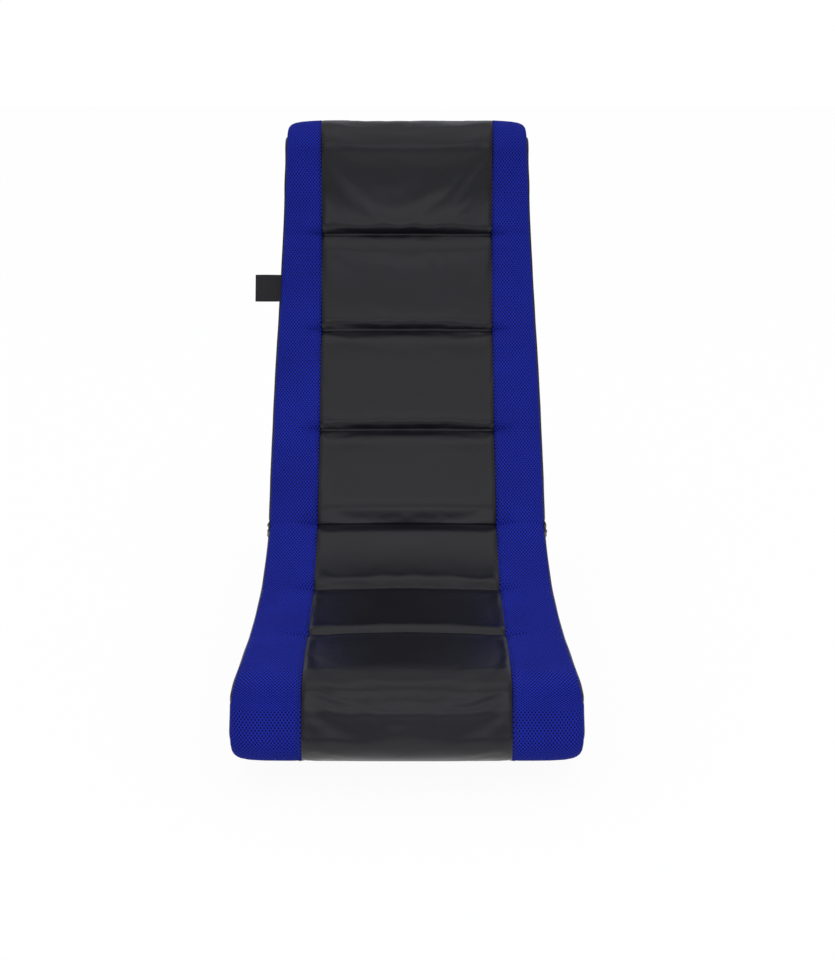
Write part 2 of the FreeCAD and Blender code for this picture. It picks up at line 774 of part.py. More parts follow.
def rail_on_deck(label, part, depth, step, share):
    """A rail under the deck, square to it, with its middle at a share of a step."""
    top = BOARD_TOP + size["layer_gap"]
    angle = step.heading + step.turn * share
    bearing = math.radians(angle)
    back = Vector(0, math.cos(bearing), math.sin(bearing)) * (size["rail_thickness"] / 2)
    return Rail(label, part, depth, step.at(share, top) - back, angle)


def rails():
    top = BOARD_TOP + size["layer_gap"]
    thick = size["rail_thickness"]
    y = board_front()
    nose_top = SEAT[0].at(SEAT[0].share_at_y(y, top), top)
    end_top = SEAT[0].at(SEAT[0].share_at_y(y + thick, top), top)
    corner = Vector(0, y, min(nose_top.z, end_top.z))
    return [
        Rail("seat_front_rail", "seat", "short_rail_depth", corner, 0),
        rail_on_deck("seat_middle_rail", "seat", "rail_depth", SEAT[1], 0.0),
        Rail("seat_rear_rail", "seat", "rail_depth", fold_point(-INNER_END - thick, RAIL_TOP), FOLD_ANGLE),
        Rail("back_lower_rail", "back", "rail_depth", fold_point(INNER_END, RAIL_TOP), FOLD_ANGLE),
        rail_on_deck("back_middle_rail", "back", "short_rail_depth", BACK[2], 0.0),
        rail_on_deck("head_rail", "back", "head_rail_depth", BACK[3], 0.75),
    ]


RAILS = rails()


def dowel_points(part):
    return [point for rail in RAILS if rail.part == part for point in rail.dowel_points()]


def side_board(part, side):
    """Plywood side with holes for its dowels and pilot holes for the hinge screws."""
    label = f"{part}_side_board_{side}"
    face = BOARD_FACE[part]
    offset = f"{face} - Sizes.board_thickness" if side == "right" else f"-({face})"
    body = padded(label, BOARD_STROKES[part](), "Sizes.board_thickness", offset)
    drill(body, label + "_dowel_holes", dowel_points(part), "Sizes.dowel_radius + Sizes.pivot_clearance")
    drill(body, label + "_pilot_holes", screw_points(part), "Sizes.screw_radius + Sizes.pivot_clearance")
    keep(body, label)


def cylinders(name, part, radius):
    """A compound of cylinders at a part's dowels, with a radius given as an expression."""
    links = []
    for number, point in enumerate(dowel_points(part), start=1):
        for side, sign in SIGN.items():
            rod = doc.addObject("Part::Cylinder", f"{name}_{side}_{number}")
            rod.setExpression("Radius", radius)
            rod.setExpression("Height", "Sizes.dowel_length")
            rod.Placement = Placement(Vector(sign * board_face(part), point.y, point.z),
                                      Rotation(Vector(0, 0, 1), ACROSS * -sign))
            links.append(rod)
    group = doc.addObject("Part::Compound", name)
    group.Links = links
    return group


def cross_rail(rail, holes):
    """A batten between the side boards, drilled for its dowels."""
    face = BOARD_FACE[rail.part]
    bar = doc.addObject("Part::Box", rail.label + "_bar")
    bar.setExpression("Length", f"2 * ({face} - Sizes.board_thickness)")
    bar.setExpression("Width", "Sizes.rail_thickness")
    bar.setExpression("Height", f"Sizes.{rail.depth}")
    corner = rail.point(0, size[rail.depth])
    bar.Placement = Placement(corner, Rotation(ACROSS, math.degrees(rail.angle)))
    bar.setExpression("Placement.Base.x", f"Sizes.board_thickness - ({face})")
    drilled = doc.addObject("Part::Cut", rail.label)
    drilled.Base, drilled.Tool = bar, holes
    keep(drilled, rail.label)


def deck(label, part, steps, first, last):
    """Hardboard bent over the side boards."""
    outer, inner = run(steps, DECK_TOP, first, last), run(steps, BOARD_TOP, first, last)
    half = f"({BOARD_FACE[part]} - Sizes.deck_setback)"
    keep(padded(label, outer + backwards(inner), f"2 * {half}", f"-{half}"), label)


def wooden_frame():
    for part in ("seat", "back"):
        for side in SIGN:
            side_board(part, side)
        holes = cylinders(f"{part}_dowel_bores", part, "Sizes.dowel_radius + Sizes.pivot_clearance")
        for rail in RAILS:
            if rail.part == part:
                cross_rail(rail, holes)
        keep(cylinders(f"{part}_dowels", part, "Sizes.dowel_radius"), f"{part}_dowels")
    seat_start = SEAT[0].share_at_y(board_front(), DECK_TOP)
    deck("seat_deck", "seat", SEAT, seat_start, seat_end(INNER_END, DECK_TOP))
    deck("back_deck", "back", BACK[:4], back_start(INNER_END, DECK_TOP), head_end())


# Foam slabs


def seat_foam_strokes():
    """Slab of the seat, wrapped round the front rail."""
    y = board_front() - size["layer_gap"]
    _, before = nose_parts(FOAM_TOP, y)
    outer = before + run(NOSE[2:] + SEAT, FOAM_TOP, 0, seat_end(INNER_END, FOAM_TOP))
    inner = run(SEAT, FOAM_FOOT, SEAT[0].share_at_y(y, FOAM_FOOT), seat_end(INNER_END, FOAM_FOOT))
    return outer + backwards(inner)


def back_foam_strokes():
    """Slab of the back, with a lobe over the head rail."""
    outer = run(BACK, FOAM_TOP, back_start(INNER_END, FOAM_TOP), 1)
    inner = run(BACK[:4], FOAM_FOOT, back_start(INNER_END, FOAM_FOOT), 1)
    return outer + backwards(inner)


def foam_slabs():
    for label, strokes in (("seat_foam", seat_foam_strokes()), ("back_foam", back_foam_strokes())):
        half = f"({SEAT_BOARD_FACE} - Sizes.foam_setback)"
        keep(padded(label, strokes, "2 * " + half, "-" + half), label)


# Hinges


def plate_layer(part):
    """Inner face of a part's right hinge plate: each plate lies on its own side board."""
    return board_face(part)


def hinge_outside():
    """How far the rivets' outer heads reach from the middle."""
    return plate_layer("back") + size["plate_thickness"] + size["plate_gap"] + size["rivet_head_height"]


def plate_corners(part):
    """Corners of a plate below its lug, as (along, inset): arm, foot and back to the arm."""
    sign = ALONG[part]
    near = sign * (INNER_END + 0.2)
    arm = near + sign * size["plate_arm"]
    foot = near + sign * size["plate_foot"]
    neck = size["pivot_depth"] + 2.4 * size["lug_radius"]
    top = BOARD_TOP + size["plate_corner"]
    return [(near, neck), (near, size["plate_depth"]), (foot, size["plate_depth"]), (foot, top),
            (arm, top - 2 * size["plate_corner"]), (arm, neck)]


def plate_strokes(part):
    """Outline of a hinge plate in the frame of the fold: a lug, a slanted arm and a wide foot."""
    sign = ALONG[part]
    lug, pivot = size["lug_radius"], size["pivot_depth"]
    neck_near, low_near, low_far, foot_top, arm_top, neck_far = plate_corners(part)
    points = [in_fold_frame(*corner) for corner in (low_near, low_far, foot_top)]
    corners = rounded([in_fold_frame(*neck_near)] + points + [in_fold_frame(*arm_top)],
                      [size["plate_corner"]] * 5)[1:4]
    tip = [in_fold_frame(along, depth)
           for along, depth in ((sign * lug, pivot), (0, pivot - lug), (-sign * lug, pivot))]
    quarter = [tip[-1], in_fold_frame(-sign * lug * math.sqrt(0.5), pivot + lug * math.sqrt(0.5)),
               in_fold_frame(0, pivot + lug)]
    straight = [in_fold_frame(*arm_top), in_fold_frame(*neck_far)]
    return [tip, quarter, [quarter[-1], in_fold_frame(*neck_near)]] + corners + [straight]


def screw_points_in_plate(part):
    """Centres of the screws in a plate's foot, in the frame of the fold."""
    sign = ALONG[part]
    near = INNER_END + size["rail_thickness"] / 2
    far = INNER_END + size["plate_foot"] - 2 * size["screw_head_radius"]
    between_dowels = RAIL_TOP + size["rail_depth"] / 2
    below_dowels = RAIL_TOP + size["rail_depth"] + size["screw_head_radius"]
    spread = (below_dowels - between_dowels) / 4
    return [in_fold_frame(sign * near, between_dowels), in_fold_frame(sign * near, below_dowels),
            in_fold_frame(sign * far, between_dowels - spread),
            in_fold_frame(sign * far, below_dowels - spread)]


def screw_points(part):
    return [fold_frame().multVec(point) for point in screw_points_in_plate(part)]


def hinge_plate(part, side):
    """A steel plate with its pivot hole and screw holes."""
    label = f"{part}_hinge_plate_{side}"
    face = BOARD_FACE[part]
    offset = face if side == "right" else f"-({face}) - Sizes.plate_thickness"
    body = padded(label, plate_strokes(part), "Sizes.plate_thickness", offset)
    drill(body, label + "_pivot_hole", [in_fold_frame(0, size["pivot_depth"])],
          "Sizes.pivot_radius + Sizes.pivot_clearance")
    drill(body, label + "_screw_holes", screw_points_in_plate(part),
          "Sizes.screw_radius + Sizes.pivot_clearance")
    body.Placement = fold_frame()
    body.setExpression("Placement.Base.x", offset)
    keep(body, label)


def turned(label, profile):
    """A body turned about its X axis from (x, radius) points."""
    body = doc.addObject("PartDesign::Body", label)
    sketch = sketch_on(body, label + "_profile", "XY_Plane")
    for a, b in polygon([Vector(x, radius, 0) for x, radius in profile]):
        sketch.addGeometry(Part.LineSegment(a, b))
    revolution = body.newObject("PartDesign::Revolution", label + "_turning")
    revolution.Profile = sketch
    revolution.ReferenceAxis = (sketch, ["H_Axis"])
    revolution.Angle = 360
    return body


def rivet(side):
    """The pivot rivet of one hinge, with a head at each end."""
    gap, head = size["plate_gap"], size["rivet_head_height"]
    length = plate_layer("back") + size["plate_thickness"] - plate_layer("seat") + 2 * gap
    bevel = head / 2
    wide, slim = size["rivet_head_radius"], size["pivot_radius"]
    profile = [(-head, 0), (-head, wide - bevel), (-head + bevel, wide), (0, wide), (0, slim),
               (length, slim), (length, wide), (length + head - bevel, wide),
               (length + head, wide - bevel), (length + head, 0)]
    label = f"hinge_rivet_{side}"
    body = turned(label, profile)
    start = plate_layer("seat") - gap
    x = start if side == "right" else -start - length
    body.Placement = Placement(fold_point(0, size["pivot_depth"], x), Rotation())
    keep(body, label)


def screw_shape():
    """One pan-head wood screw along X, with the underside of its head at x = 0."""
    head, wide, slim = size["screw_head_height"], size["screw_head_radius"], size["screw_radius"]
    shank = size["screw_length"] + size["plate_thickness"]
    bevel = head / 2
    profile = [(-shank, 0), (-shank + 2 * slim, slim), (0, slim), (0, wide), (head - bevel, wide),
               (head, wide - bevel), (head, 0)]
    points = [Vector(x, radius, 0) for x, radius in profile]
    face = Part.Face(Part.makePolygon(points + points[:1]))
    return face.revolve(Vector(0, 0, 0), ACROSS, 360)


def hinge_screws(part):
    """The screws of a part's two hinge plates."""
    solids = []
    for point in screw_points(part):
        screw = screw_shape()
        screw.translate(Vector(plate_layer(part) + size["plate_thickness"], point.y, point.z))
        solids += [screw, mirrored(screw)]
    feature(f"{part}_hinge_screws", Part.makeCompound(solids))


def hinge_pocket():
    """The room that the right hinge needs in the foam and in the mesh strip."""
    low = board_face("seat") - size["rivet_head_height"] - 2 * size["plate_gap"]
    high = hinge_outside() + 2 * size["plate_gap"]
    blocks = []
    for part in ("seat", "back"):
        plate = Part.Face(closed_wire(plate_strokes(part)))
        outline = plate.makeOffset2D(size["pocket_clearance"])
        solid = outline.extrude(ACROSS * (high - low))
        solid.Placement = fold_frame(low)
        blocks.append(solid)
    return blocks[0].fuse(blocks[1])


def hinges():
    for part in ("seat", "back"):
        for side in SIGN:
            hinge_plate(part, side)
        hinge_screws(part)
    for side in SIGN:
        rivet(side)


# The bare label in the left side seam


def side_label():
    """A folded woven tab that stands out of the seam between mesh and side panel."""
    step, share = BACK[2], size["label_share"]
    at_fold, at_end = half_widths("back")
    half = at_fold + (at_end - at_fold) * taper_reach("back", step.at(share))
    bearing = step.heading + step.turn * share
    along = step.bearing(share)
    corner = step.at(share, FOAM_TOP - size["label_lift"])
    corner -= Vector(0, math.cos(along), math.sin(along)) * (size["label_height"] / 2)
    tab = doc.addObject("Part::Box", "side_label")
    tab.setExpression("Length", "Sizes.label_reach + Sizes.rim_setback - 4 * Sizes.layer_gap")
    tab.setExpression("Width", "Sizes.label_height")
    tab.setExpression("Height", "Sizes.label_thickness")
    tab.Placement = Placement(corner - ACROSS * (half + size["label_reach"]), Rotation(ACROSS, bearing))
    keep(tab, "side_label")


def export():
    """Checks every object, then writes one file for each sub-part."""
    doc.recompute()
    for obj in doc.Objects:
        if {"Invalid", "Error"} & set(obj.State):
            raise RuntimeError(f"{obj.Label} failed: {obj.State}")
    os.makedirs("parts", exist_ok=True)
    for obj in PARTS:
        shape = obj.Shape
        if shape.isNull() or not shape.isValid() or not shape.Solids:
            raise RuntimeError(f"{obj.Label} has no valid solid")
        shape.exportStep(f"parts/{obj.Label}.step")
    print(len(PARTS), "sub-parts")


front_panels()
sides_and_covers()
end_panel("seat")
end_panel("back")
wooden_frame()
foam_slabs()
hinges()
side_label()
export()
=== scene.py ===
import json
import math

import bmesh
import bpy
import numpy as np
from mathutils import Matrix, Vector


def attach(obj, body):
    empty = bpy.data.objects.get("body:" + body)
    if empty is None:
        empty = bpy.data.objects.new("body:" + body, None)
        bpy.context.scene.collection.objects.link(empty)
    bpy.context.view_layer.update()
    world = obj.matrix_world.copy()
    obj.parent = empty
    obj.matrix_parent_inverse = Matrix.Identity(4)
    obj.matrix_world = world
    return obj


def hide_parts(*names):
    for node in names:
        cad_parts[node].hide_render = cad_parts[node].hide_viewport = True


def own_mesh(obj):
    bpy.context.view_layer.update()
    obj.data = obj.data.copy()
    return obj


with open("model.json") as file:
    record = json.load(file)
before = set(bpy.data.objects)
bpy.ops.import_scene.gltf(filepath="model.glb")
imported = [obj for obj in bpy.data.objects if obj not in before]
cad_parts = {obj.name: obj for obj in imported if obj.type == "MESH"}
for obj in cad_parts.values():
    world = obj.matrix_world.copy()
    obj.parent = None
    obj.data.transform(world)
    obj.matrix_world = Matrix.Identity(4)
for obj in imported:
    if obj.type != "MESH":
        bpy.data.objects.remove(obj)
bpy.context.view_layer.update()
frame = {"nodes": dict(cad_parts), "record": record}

# Shapes are worked out in millimetres and degrees in the CAD frame, and turned to metres when a
# mesh is made. The side view is the CAD model's closed walk, with the body on its right hand: round
# the nose, along the seat, up the back, over the head, down the rear, round the heel and forward
# along the rocker. "Inset" is a depth below that walk.
MM = 0.001
NOSE_HEIGHT = 79.0
NOSE_LOWER_RADIUS = 50.0
NOSE_FACE_LENGTH = 25.0
NOSE_UPPER_RADIUS = 37.0
NOSE_WRAP_ANGLE = 89.0
# Length and bend of each sewn channel, from the nose to the fold and from the fold to the head.
CHANNELS = {"seat": [(135.6, -6.0), (124.0, 14.5), (108.5, 32.5)],
            "back": [(135.2, 8.6), (146.2, 4.2), (132.9, 17.2), (110.5, 17.2)]}
HEAD_RADIUS = 40.0
HEAD_WRAP_ANGLE = 188.0
FOLD_THICKNESS = 176.0
HEEL_RADIUS = 50.0
REST_LENGTH = 110.0
UNDERSIDE_WRAP = 26.0
CENTRE_HALF = 119.0
FOLD_HALF = 184.0
END_HALF = {"seat": 200.0, "back": 169.0}
# The small folds of the simulated cloth depend on the last digits of its grid, so the finished walk
# is rounded before anything is built on it.
WALK_DIGITS = 3


def smooth(t):
    """Rises from 0 to 1 without a corner as t does."""
    t = np.clip(t, 0, 1)
    return t * t * (3 - 2 * t)


def along_step(y, z, heading, length, turn, along):
    """Places and bearings at distances along straight or round steps."""
    begin = np.radians(heading)
    here = begin + np.radians(turn) * along / length
    bent = np.abs(turn) > 1e-9
    radius = length / np.radians(np.where(bent, turn, 1.0))
    dy = np.where(bent, radius * (np.sin(here) - np.sin(begin)), along * np.cos(begin))
    dz = np.where(bent, radius * (np.cos(begin) - np.cos(here)), along * np.sin(begin))
    return y + dy, z + dz, here


class Path:
    """A run of steps, each with its start y, start z, heading, length and turn."""

    def __init__(self, steps):
        self.steps = np.array(steps, float)
        self.starts = np.concatenate([[0], np.cumsum(self.steps[:, 3])])
        self.length = self.starts[-1]

    def end(self):
        """The place y, z and the heading at the end of the last step."""
        y, z, _ = along_step(*self.steps[-1], self.length - self.starts[-2])
        return float(y), float(z), self.steps[-1, 2] + self.steps[-1, 4]

    def settled(self, dy):
        """The same path, further back by dy, with its steps rounded."""
        return Path(np.round(self.steps + [dy, 0, 0, 0, 0], WALK_DIGITS))

    def place(self, s, inset=0.0):
        """Arrays y, z and bearing at distances s, moved into the body by inset."""
        s = np.asarray(s, float)
        index = np.clip(np.searchsorted(self.starts, s, side="right") - 1, 0, len(self.steps) - 1)
        step = (self.steps[index, k] for k in range(5))
        y, z, here = along_step(*step, s - self.starts[index])
        return y + inset * np.sin(here), z - inset * np.cos(here), here

    def point(self, s):
        """One point of the path, as an array y, z."""
        return np.array([float(value) for value in self.place(s)[:2]])


def walk(start, stretches):
    """The path from a start (y, z, heading) over the (length, turn) of steps without a corner."""
    y, z, heading = start
    steps = []
    for length, turn in stretches:
        steps.append((y, z, heading, length, turn))
        y, z, _ = along_step(*steps[-1], length)
        heading += turn
    return Path(steps)


def round_stretch(radius, turn):
    """Length and turn of a rounding."""
    return radius * math.radians(abs(turn)), turn


def meeting_arc(start, y, z):
    """Length and turn of the arc that leaves a start (y, z, heading) and meets a point."""
    dy, dz = y - start[0], z - start[1]
    half = (math.degrees(math.atan2(dz, dy)) - start[2] + 180) % 360 - 180
    radius = math.hypot(dy, dz) / (2 * math.sin(math.radians(abs(half))))
    return round_stretch(radius, 2 * half)


def side_view():
    """The front and the lower path of each half, about the middle of the resting flat."""
    nose = [(NOSE_FACE_LENGTH, 0.0), round_stretch(NOSE_UPPER_RADIUS, -NOSE_WRAP_ANGLE)]
    seat_top = walk((0.0, NOSE_HEIGHT, 90.0), nose + CHANNELS["seat"])
    head = round_stretch(HEAD_RADIUS, -HEAD_WRAP_ANGLE)
    back = walk(seat_top.end(), CHANNELS["back"] + [head])
    fold_y, fold_z, _ = seat_top.place(seat_top.length, FOLD_THICKNESS)
    rear = walk(back.end(), [meeting_arc(back.end(), fold_y, fold_z)])

    rear_heading = rear.end()[2]
    slope = rear_heading + 180
    tangent = HEEL_RADIUS * math.tan(math.radians(slope / 2))
    rear_line = fold_z / math.sin(math.radians(slope)) - tangent
    rest_rear = fold_y - fold_z / math.tan(math.radians(slope)) - tangent
    rest_front = rest_rear - REST_LENGTH
    reach = rest_front - NOSE_LOWER_RADIUS
    rise = 2 * math.degrees(math.atan((NOSE_HEIGHT - NOSE_LOWER_RADIUS) / reach))
    rocker_radius = NOSE_LOWER_RADIUS + reach / math.sin(math.radians(rise))
    wrap_turn = math.degrees(UNDERSIDE_WRAP / rocker_radius)
    underside = walk((fold_y, fold_z, rear_heading), [
        (rear_line, 0.0),
        round_stretch(HEEL_RADIUS, -slope),
        (REST_LENGTH, 0.0),
        round_stretch(rocker_radius, wrap_turn - rise),
    ])
    under_nose = [(UNDERSIDE_WRAP, -wrap_turn), round_stretch(NOSE_LOWER_RADIUS, rise - 90)]
    front = walk(underside.end(), under_nose + nose + CHANNELS["seat"])
    middle = (rest_front + rest_rear) / 2
    return ({"seat": front.settled(-middle), "back": back.settled(-middle)},
            {"seat": underside.settled(-middle), "back": rear.settled(-middle)})


FRONT, LOWER = side_view()
FOLD = FRONT["back"].steps[0, :2]
FOLD_ANGLE = FRONT["back"].steps[0, 2]
FRONT_START = {"seat": FRONT["seat"].starts[-1 - len(CHANNELS["seat"])], "back": 0.0}
# Distances of the cross seams from where a half's first channel starts.
SEAMS = {body: np.cumsum([length for length, _ in channels])[:-1].round(WALK_DIGITS).tolist()
         for body, channels in CHANNELS.items()}
# A half's width changes in a straight line from the fold to its far end, along one direction.
TAPER_END = {"seat": FRONT["seat"].point(FRONT["seat"].starts[2] + NOSE_FACE_LENGTH / 2),
             "back": FRONT["back"].steps[-1, :2]}
BACK_LEAN = math.degrees(math.atan2(*(TAPER_END["back"] - FOLD)[::-1]))
TAPER_ANGLE = {"seat": FOLD_ANGLE / 2, "back": round((FOLD_ANGLE + BACK_LEAN) / 2, WALK_DIGITS)}

# The padded sides stand out from the CAD model's side planes: a little all over, more towards the
# nose, and in a bulge along the back. The seat's sides are drawn in a little on the way.
SIDE_STAND_OUT = 1.0
NOSE_BULGE = 2.2
NOSE_BULGE_FROM = 0.66
NOSE_BULGE_SPAN = 0.3
SEAT_DRAW_IN = 0.9
BACK_BULGE = 4.8
BACK_BULGE_SKEW = 0.85
TAPER_OVERRUN = 1.02


def half_width(body, y, z):
    """Distance of the padded side from the middle."""
    angle = math.radians(TAPER_ANGLE[body])
    direction = np.array([math.cos(angle), math.sin(angle)])
    span = (TAPER_END[body] - FOLD) @ direction
    reach = ((y - FOLD[0]) * direction[0] + (z - FOLD[1]) * direction[1]) / span
    reach = np.clip(reach, 0, TAPER_OVERRUN)
    if body == "seat":
        bulge = NOSE_BULGE * smooth((reach - NOSE_BULGE_FROM) / NOSE_BULGE_SPAN)
        bulge = bulge - SEAT_DRAW_IN * reach
    else:
        bulge = BACK_BULGE * np.sin(math.pi * np.clip(reach, 0, 1) ** BACK_BULGE_SKEW)
    return FOLD_HALF + SIDE_STAND_OUT + (END_HALF[body] - FOLD_HALF) * reach + bulge


NOSE_EASE = 14.0
NOSE_EASE_AT = 140.0
NOSE_EASE_REACH = 66.0


def nose_ease(body, s):
    """How much further in the padded front lies where it rounds over the nose."""
    if body != "seat":
        return np.zeros_like(s)
    away = np.clip((s - NOSE_EASE_AT) / NOSE_EASE_REACH, -1, 1)
    return NOSE_EASE * np.cos(math.pi / 2 * away) ** 2


WAVE_COUNT = 7
WAVE_PITCHES = (0.7, 1.5)


def waves(points, seed, size):
    """A smooth random field of about one unit over points, as a sum of seeded waves."""
    random = np.random.default_rng(seed)
    total = np.zeros(points.shape[:-1])
    for _ in range(WAVE_COUNT):
        direction = random.normal(size=3)
        direction /= np.linalg.norm(direction)
        pitch = size * random.uniform(*WAVE_PITCHES)
        phase = random.uniform(0, 2 * math.pi)
        total += np.sin(points @ direction * (2 * math.pi / pitch) + phase)
    return total / math.sqrt(WAVE_COUNT / 2)


# Meshes


def new_object(name, vertices, faces, uv=None):
    """An object from vertices in millimetres, with outward normals and smooth shading."""
    mesh = bpy.data.meshes.new(name)
    mesh.from_pydata((np.asarray(vertices) * MM).tolist(), [], [list(map(int, f)) for f in faces])
    if uv is not None:
        layer = mesh.uv_layers.new(name="metres")
        index = np.zeros(len(mesh.loops), int)
        mesh.loops.foreach_get("vertex_index", index)
        layer.data.foreach_set("uv", (np.asarray(uv)[index] * MM).ravel())
    work = bmesh.new()
    work.from_mesh(mesh)
    bmesh.ops.recalc_face_normals(work, faces=work.faces)
    work.to_mesh(mesh)
    work.free()
    mesh.polygons.foreach_set("use_smooth", [True] * len(mesh.polygons))
    obj = bpy.data.objects.new(name, mesh)
    bpy.context.scene.collection.objects.link(obj)
    return obj


def vectors(*parts):
    """Arrays that are broadcast together and stacked as the last axis."""
    return np.stack(np.broadcast_arrays(*parts), axis=-1)


def grid_faces(rows, columns, start=0, wrap=False):
    """Quads of a grid of vertices in row order."""
    index = np.arange(rows * columns).reshape(rows, columns) + start
    if wrap:
        index = np.concatenate([index, index[:, :1]], axis=1)
    a, b, c, d = index[:-1, :-1], index[:-1, 1:], index[1:, 1:], index[1:, :-1]
    return np.stack([a, b, c, d], axis=-1).reshape(-1, 4).tolist()


def slab(front, back):
    """Vertices and faces of the closed form between two grids of the same size."""
    rows, columns = front.shape[:2]
    count = rows * columns
    faces = grid_faces(rows, columns) + [f[::-1] for f in grid_faces(rows, columns, count)]
    index = np.arange(count).reshape(rows, columns)
    ring = np.concatenate([index[0, :], index[1:, -1], index[-1, -2::-1], index[-2:0:-1, 0]])
    for a, b in zip(ring, np.roll(ring, -1)):
        faces.append([a, b, b + count, a + count])
    return np.concatenate([front.reshape(-1, 3), back.reshape(-1, 3)]), faces


def closed_rings(rings):
    """Vertices and faces of the closed form through rings of points, with flat ends."""
    count, sides = rings.shape[:2]
    last = (count - 1) * sides
    faces = grid_faces(count, sides, wrap=True)
    faces += [list(range(sides))[::-1], [last + k for k in range(sides)]]
    return rings.reshape(-1, 3), faces


def joined(shapes):
    """One list of vertices and faces from several."""
    vertices, faces, start = [], [], 0
    for points, quads in shapes:
        vertices.append(points)
        faces += [[start + k for k in quad] for quad in quads]
        start += len(points)
    return np.concatenate(vertices), faces


def travelled(line):
    """Distances along a line of points, from its start."""
    return np.concatenate([[0], np.cumsum(np.linalg.norm(np.diff(line, axis=0), axis=1))])


# Front panels

# The cover's grid is fine beside its seams and coarse between them.
GRID_FINE = 1.3
GRID_COARSE = 4.4
GRID_COARSE_CENTRE = 4.6
GRID_REACH_ALONG = 16.0
GRID_REACH_ACROSS = 10.0
GRID_SAMPLES = 20001
SAME_PLACE = 0.01

# Across a mesh strip: the share of its width, and the drop below the centre panel's edge.
MESH_PROFILE = np.array([(0.0, 0.0), (0.3, 0.05), (0.55, 0.3), (0.75, 1.2), (0.88, 3.2),
                         (0.95, 6.0), (0.982, 9.0), (0.994, 12.0), (1.0, 15.0)])
STRIP_WIDTH = 66.0
STRIP_LENGTH = 84.0
RIM_SETBACK = 2.8
PANEL_BACK = 21.0
PANEL_LEAST = 3.0
CROWN_DROP = 6.0

# A cross seam sinks most at the middle of the panel and least at the rim. The cover rises steeply
# above the seam, where its edge wavers a little, and gently below it.
SEAM_SINK = 12.0
SEAM_SINK_EDGE = 9.0
SEAM_SINK_RIM = 2.0
SEAM_SINK_FADE = 2.2
LOW_REACH = 26.0
LOW_STEEPNESS = 2.6
HIGH_REACH = 14.0
HIGH_STEEPNESS = 2.1
WAVER = 0.10
WAVER_PITCH = 9.3
WAVER_DRIFT = 31.0
FOLD_REACH = {"seat": 19.0, "back": 27.0}
FOLD_STEEPNESS = 1.9
FOLD_SINK = 1.15
GROOVE_DEPTH = 2.0
GROOVE_WIDTH = 2.6

# The rim's rounding, the crown and the seams fade out before a half's far end, at the nose and at
# the head. The rim drops a little more just below the head.
RIM_FADE = 42.0
CROWN_FADE_FROM = 40.0
CROWN_FADE = 80.0
HEAD_DROP = 3.2
HEAD_DROP_CURVE = 1.3
HEAD_DROP_RISE = 50.0
HEAD_DROP_FADE_FROM = 70.0
HEAD_DROP_FADE = 110.0

CLOTH_HOLD = 0.02
CLOTH_PRESSURE = 1.5
CLOTH_SHRINK = -0.006
CLOTH_GRAVITY = 0.05
CLOTH_FRAMES = 9
CLOTH_CAP = 2.5
CLOTH_SHARE = 0.4


def graded(stops, fine, coarse, reach):
    """Places from the first stop to the last, close together beside each stop."""
    places = np.linspace(stops[0], stops[-1], GRID_SAMPLES)
    near = np.abs(places[:, None] - np.array(stops)).min(axis=1)
    density = 1 / (fine + (coarse - fine) * smooth(near / reach))
    total = np.concatenate([[0], np.cumsum((density[1:] + density[:-1]) / 2 * np.diff(places))])
    count = int(round(total[-1]))
    graded_places = np.interp(np.linspace(0, total[-1], count + 1), total, places)
    for stop in stops:
        graded_places[np.argmin(np.abs(graded_places - stop))] = stop
    return graded_places


def mesh_station(share):
    """Share of the width and drop below the centre panel's edge at a place across a mesh strip."""
    width, drop = MESH_PROFILE.T
    length = travelled(np.stack([width * STRIP_WIDTH, drop], axis=1))
    place = share * length[-1]
    return np.interp(place, length, width), np.interp(place, length, drop)


def cross_seams(body):
    """Distances of the cross seams and of the fold along the front path."""
    fold = FRONT[body].length if body == "seat" else 0.0
    return [FRONT_START[body] + seam for seam in SEAMS[body]], fold


def seam_depth(body, x, s, outward, beside):
    """How far the cross seams and the fold draw the cover in."""
    seams, fold = cross_seams(body)
    on_mesh = SEAM_SINK_RIM - SEAM_SINK_EDGE
    sink = np.where(outward > 0, SEAM_SINK_EDGE + on_mesh * smooth(outward * SEAM_SINK_FADE),
                    SEAM_SINK + (SEAM_SINK_EDGE - SEAM_SINK) * beside)
    waver = WAVER * np.sin(x / WAVER_PITCH + 2 * np.sin(x / WAVER_DRIFT))
    high_reach = HIGH_REACH * (1 + waver * np.where(outward > 0, 0, 1))
    depth = np.zeros_like(x)
    for seam in seams:
        away = s - seam
        below = (1 - np.clip(-away / LOW_REACH, 0, 1)) ** LOW_STEEPNESS
        above = (1 - np.clip(away / high_reach, 0, 1)) ** HIGH_STEEPNESS
        depth = np.maximum(depth, sink * np.where(away < 0, below, above))
    near_fold = (1 - np.clip(np.abs(s - fold) / FOLD_REACH[body], 0, 1)) ** FOLD_STEEPNESS
    return np.maximum(depth, FOLD_SINK * sink * near_fold)


def cover_inset(body, x, s, outward, drop):
    """How far the cover lies below the walk, and how much of that is the rim's rounding."""
    end = s if body == "seat" else FRONT[body].length - s
    rim_fall = np.broadcast_to(drop, x.shape) * smooth(end / RIM_FADE)
    if body == "back":
        below_head = smooth(end / HEAD_DROP_RISE)
        below_head = below_head * (1 - smooth((end - HEAD_DROP_FADE_FROM) / HEAD_DROP_FADE))
        rim_fall = rim_fall + HEAD_DROP * outward ** HEAD_DROP_CURVE * below_head
    beside = np.clip(np.abs(x) / CENTRE_HALF, 0, 1) ** 2
    groove = GROOVE_DEPTH * np.exp(-((np.abs(x) - CENTRE_HALF) / GROOVE_WIDTH) ** 2)
    drawn_in = CROWN_DROP * beside + seam_depth(body, x, s, outward, beside) + groove
    inset = rim_fall + drawn_in * smooth((end - CROWN_FADE_FROM) / CROWN_FADE)
    return inset + nose_ease(body, s), rim_fall


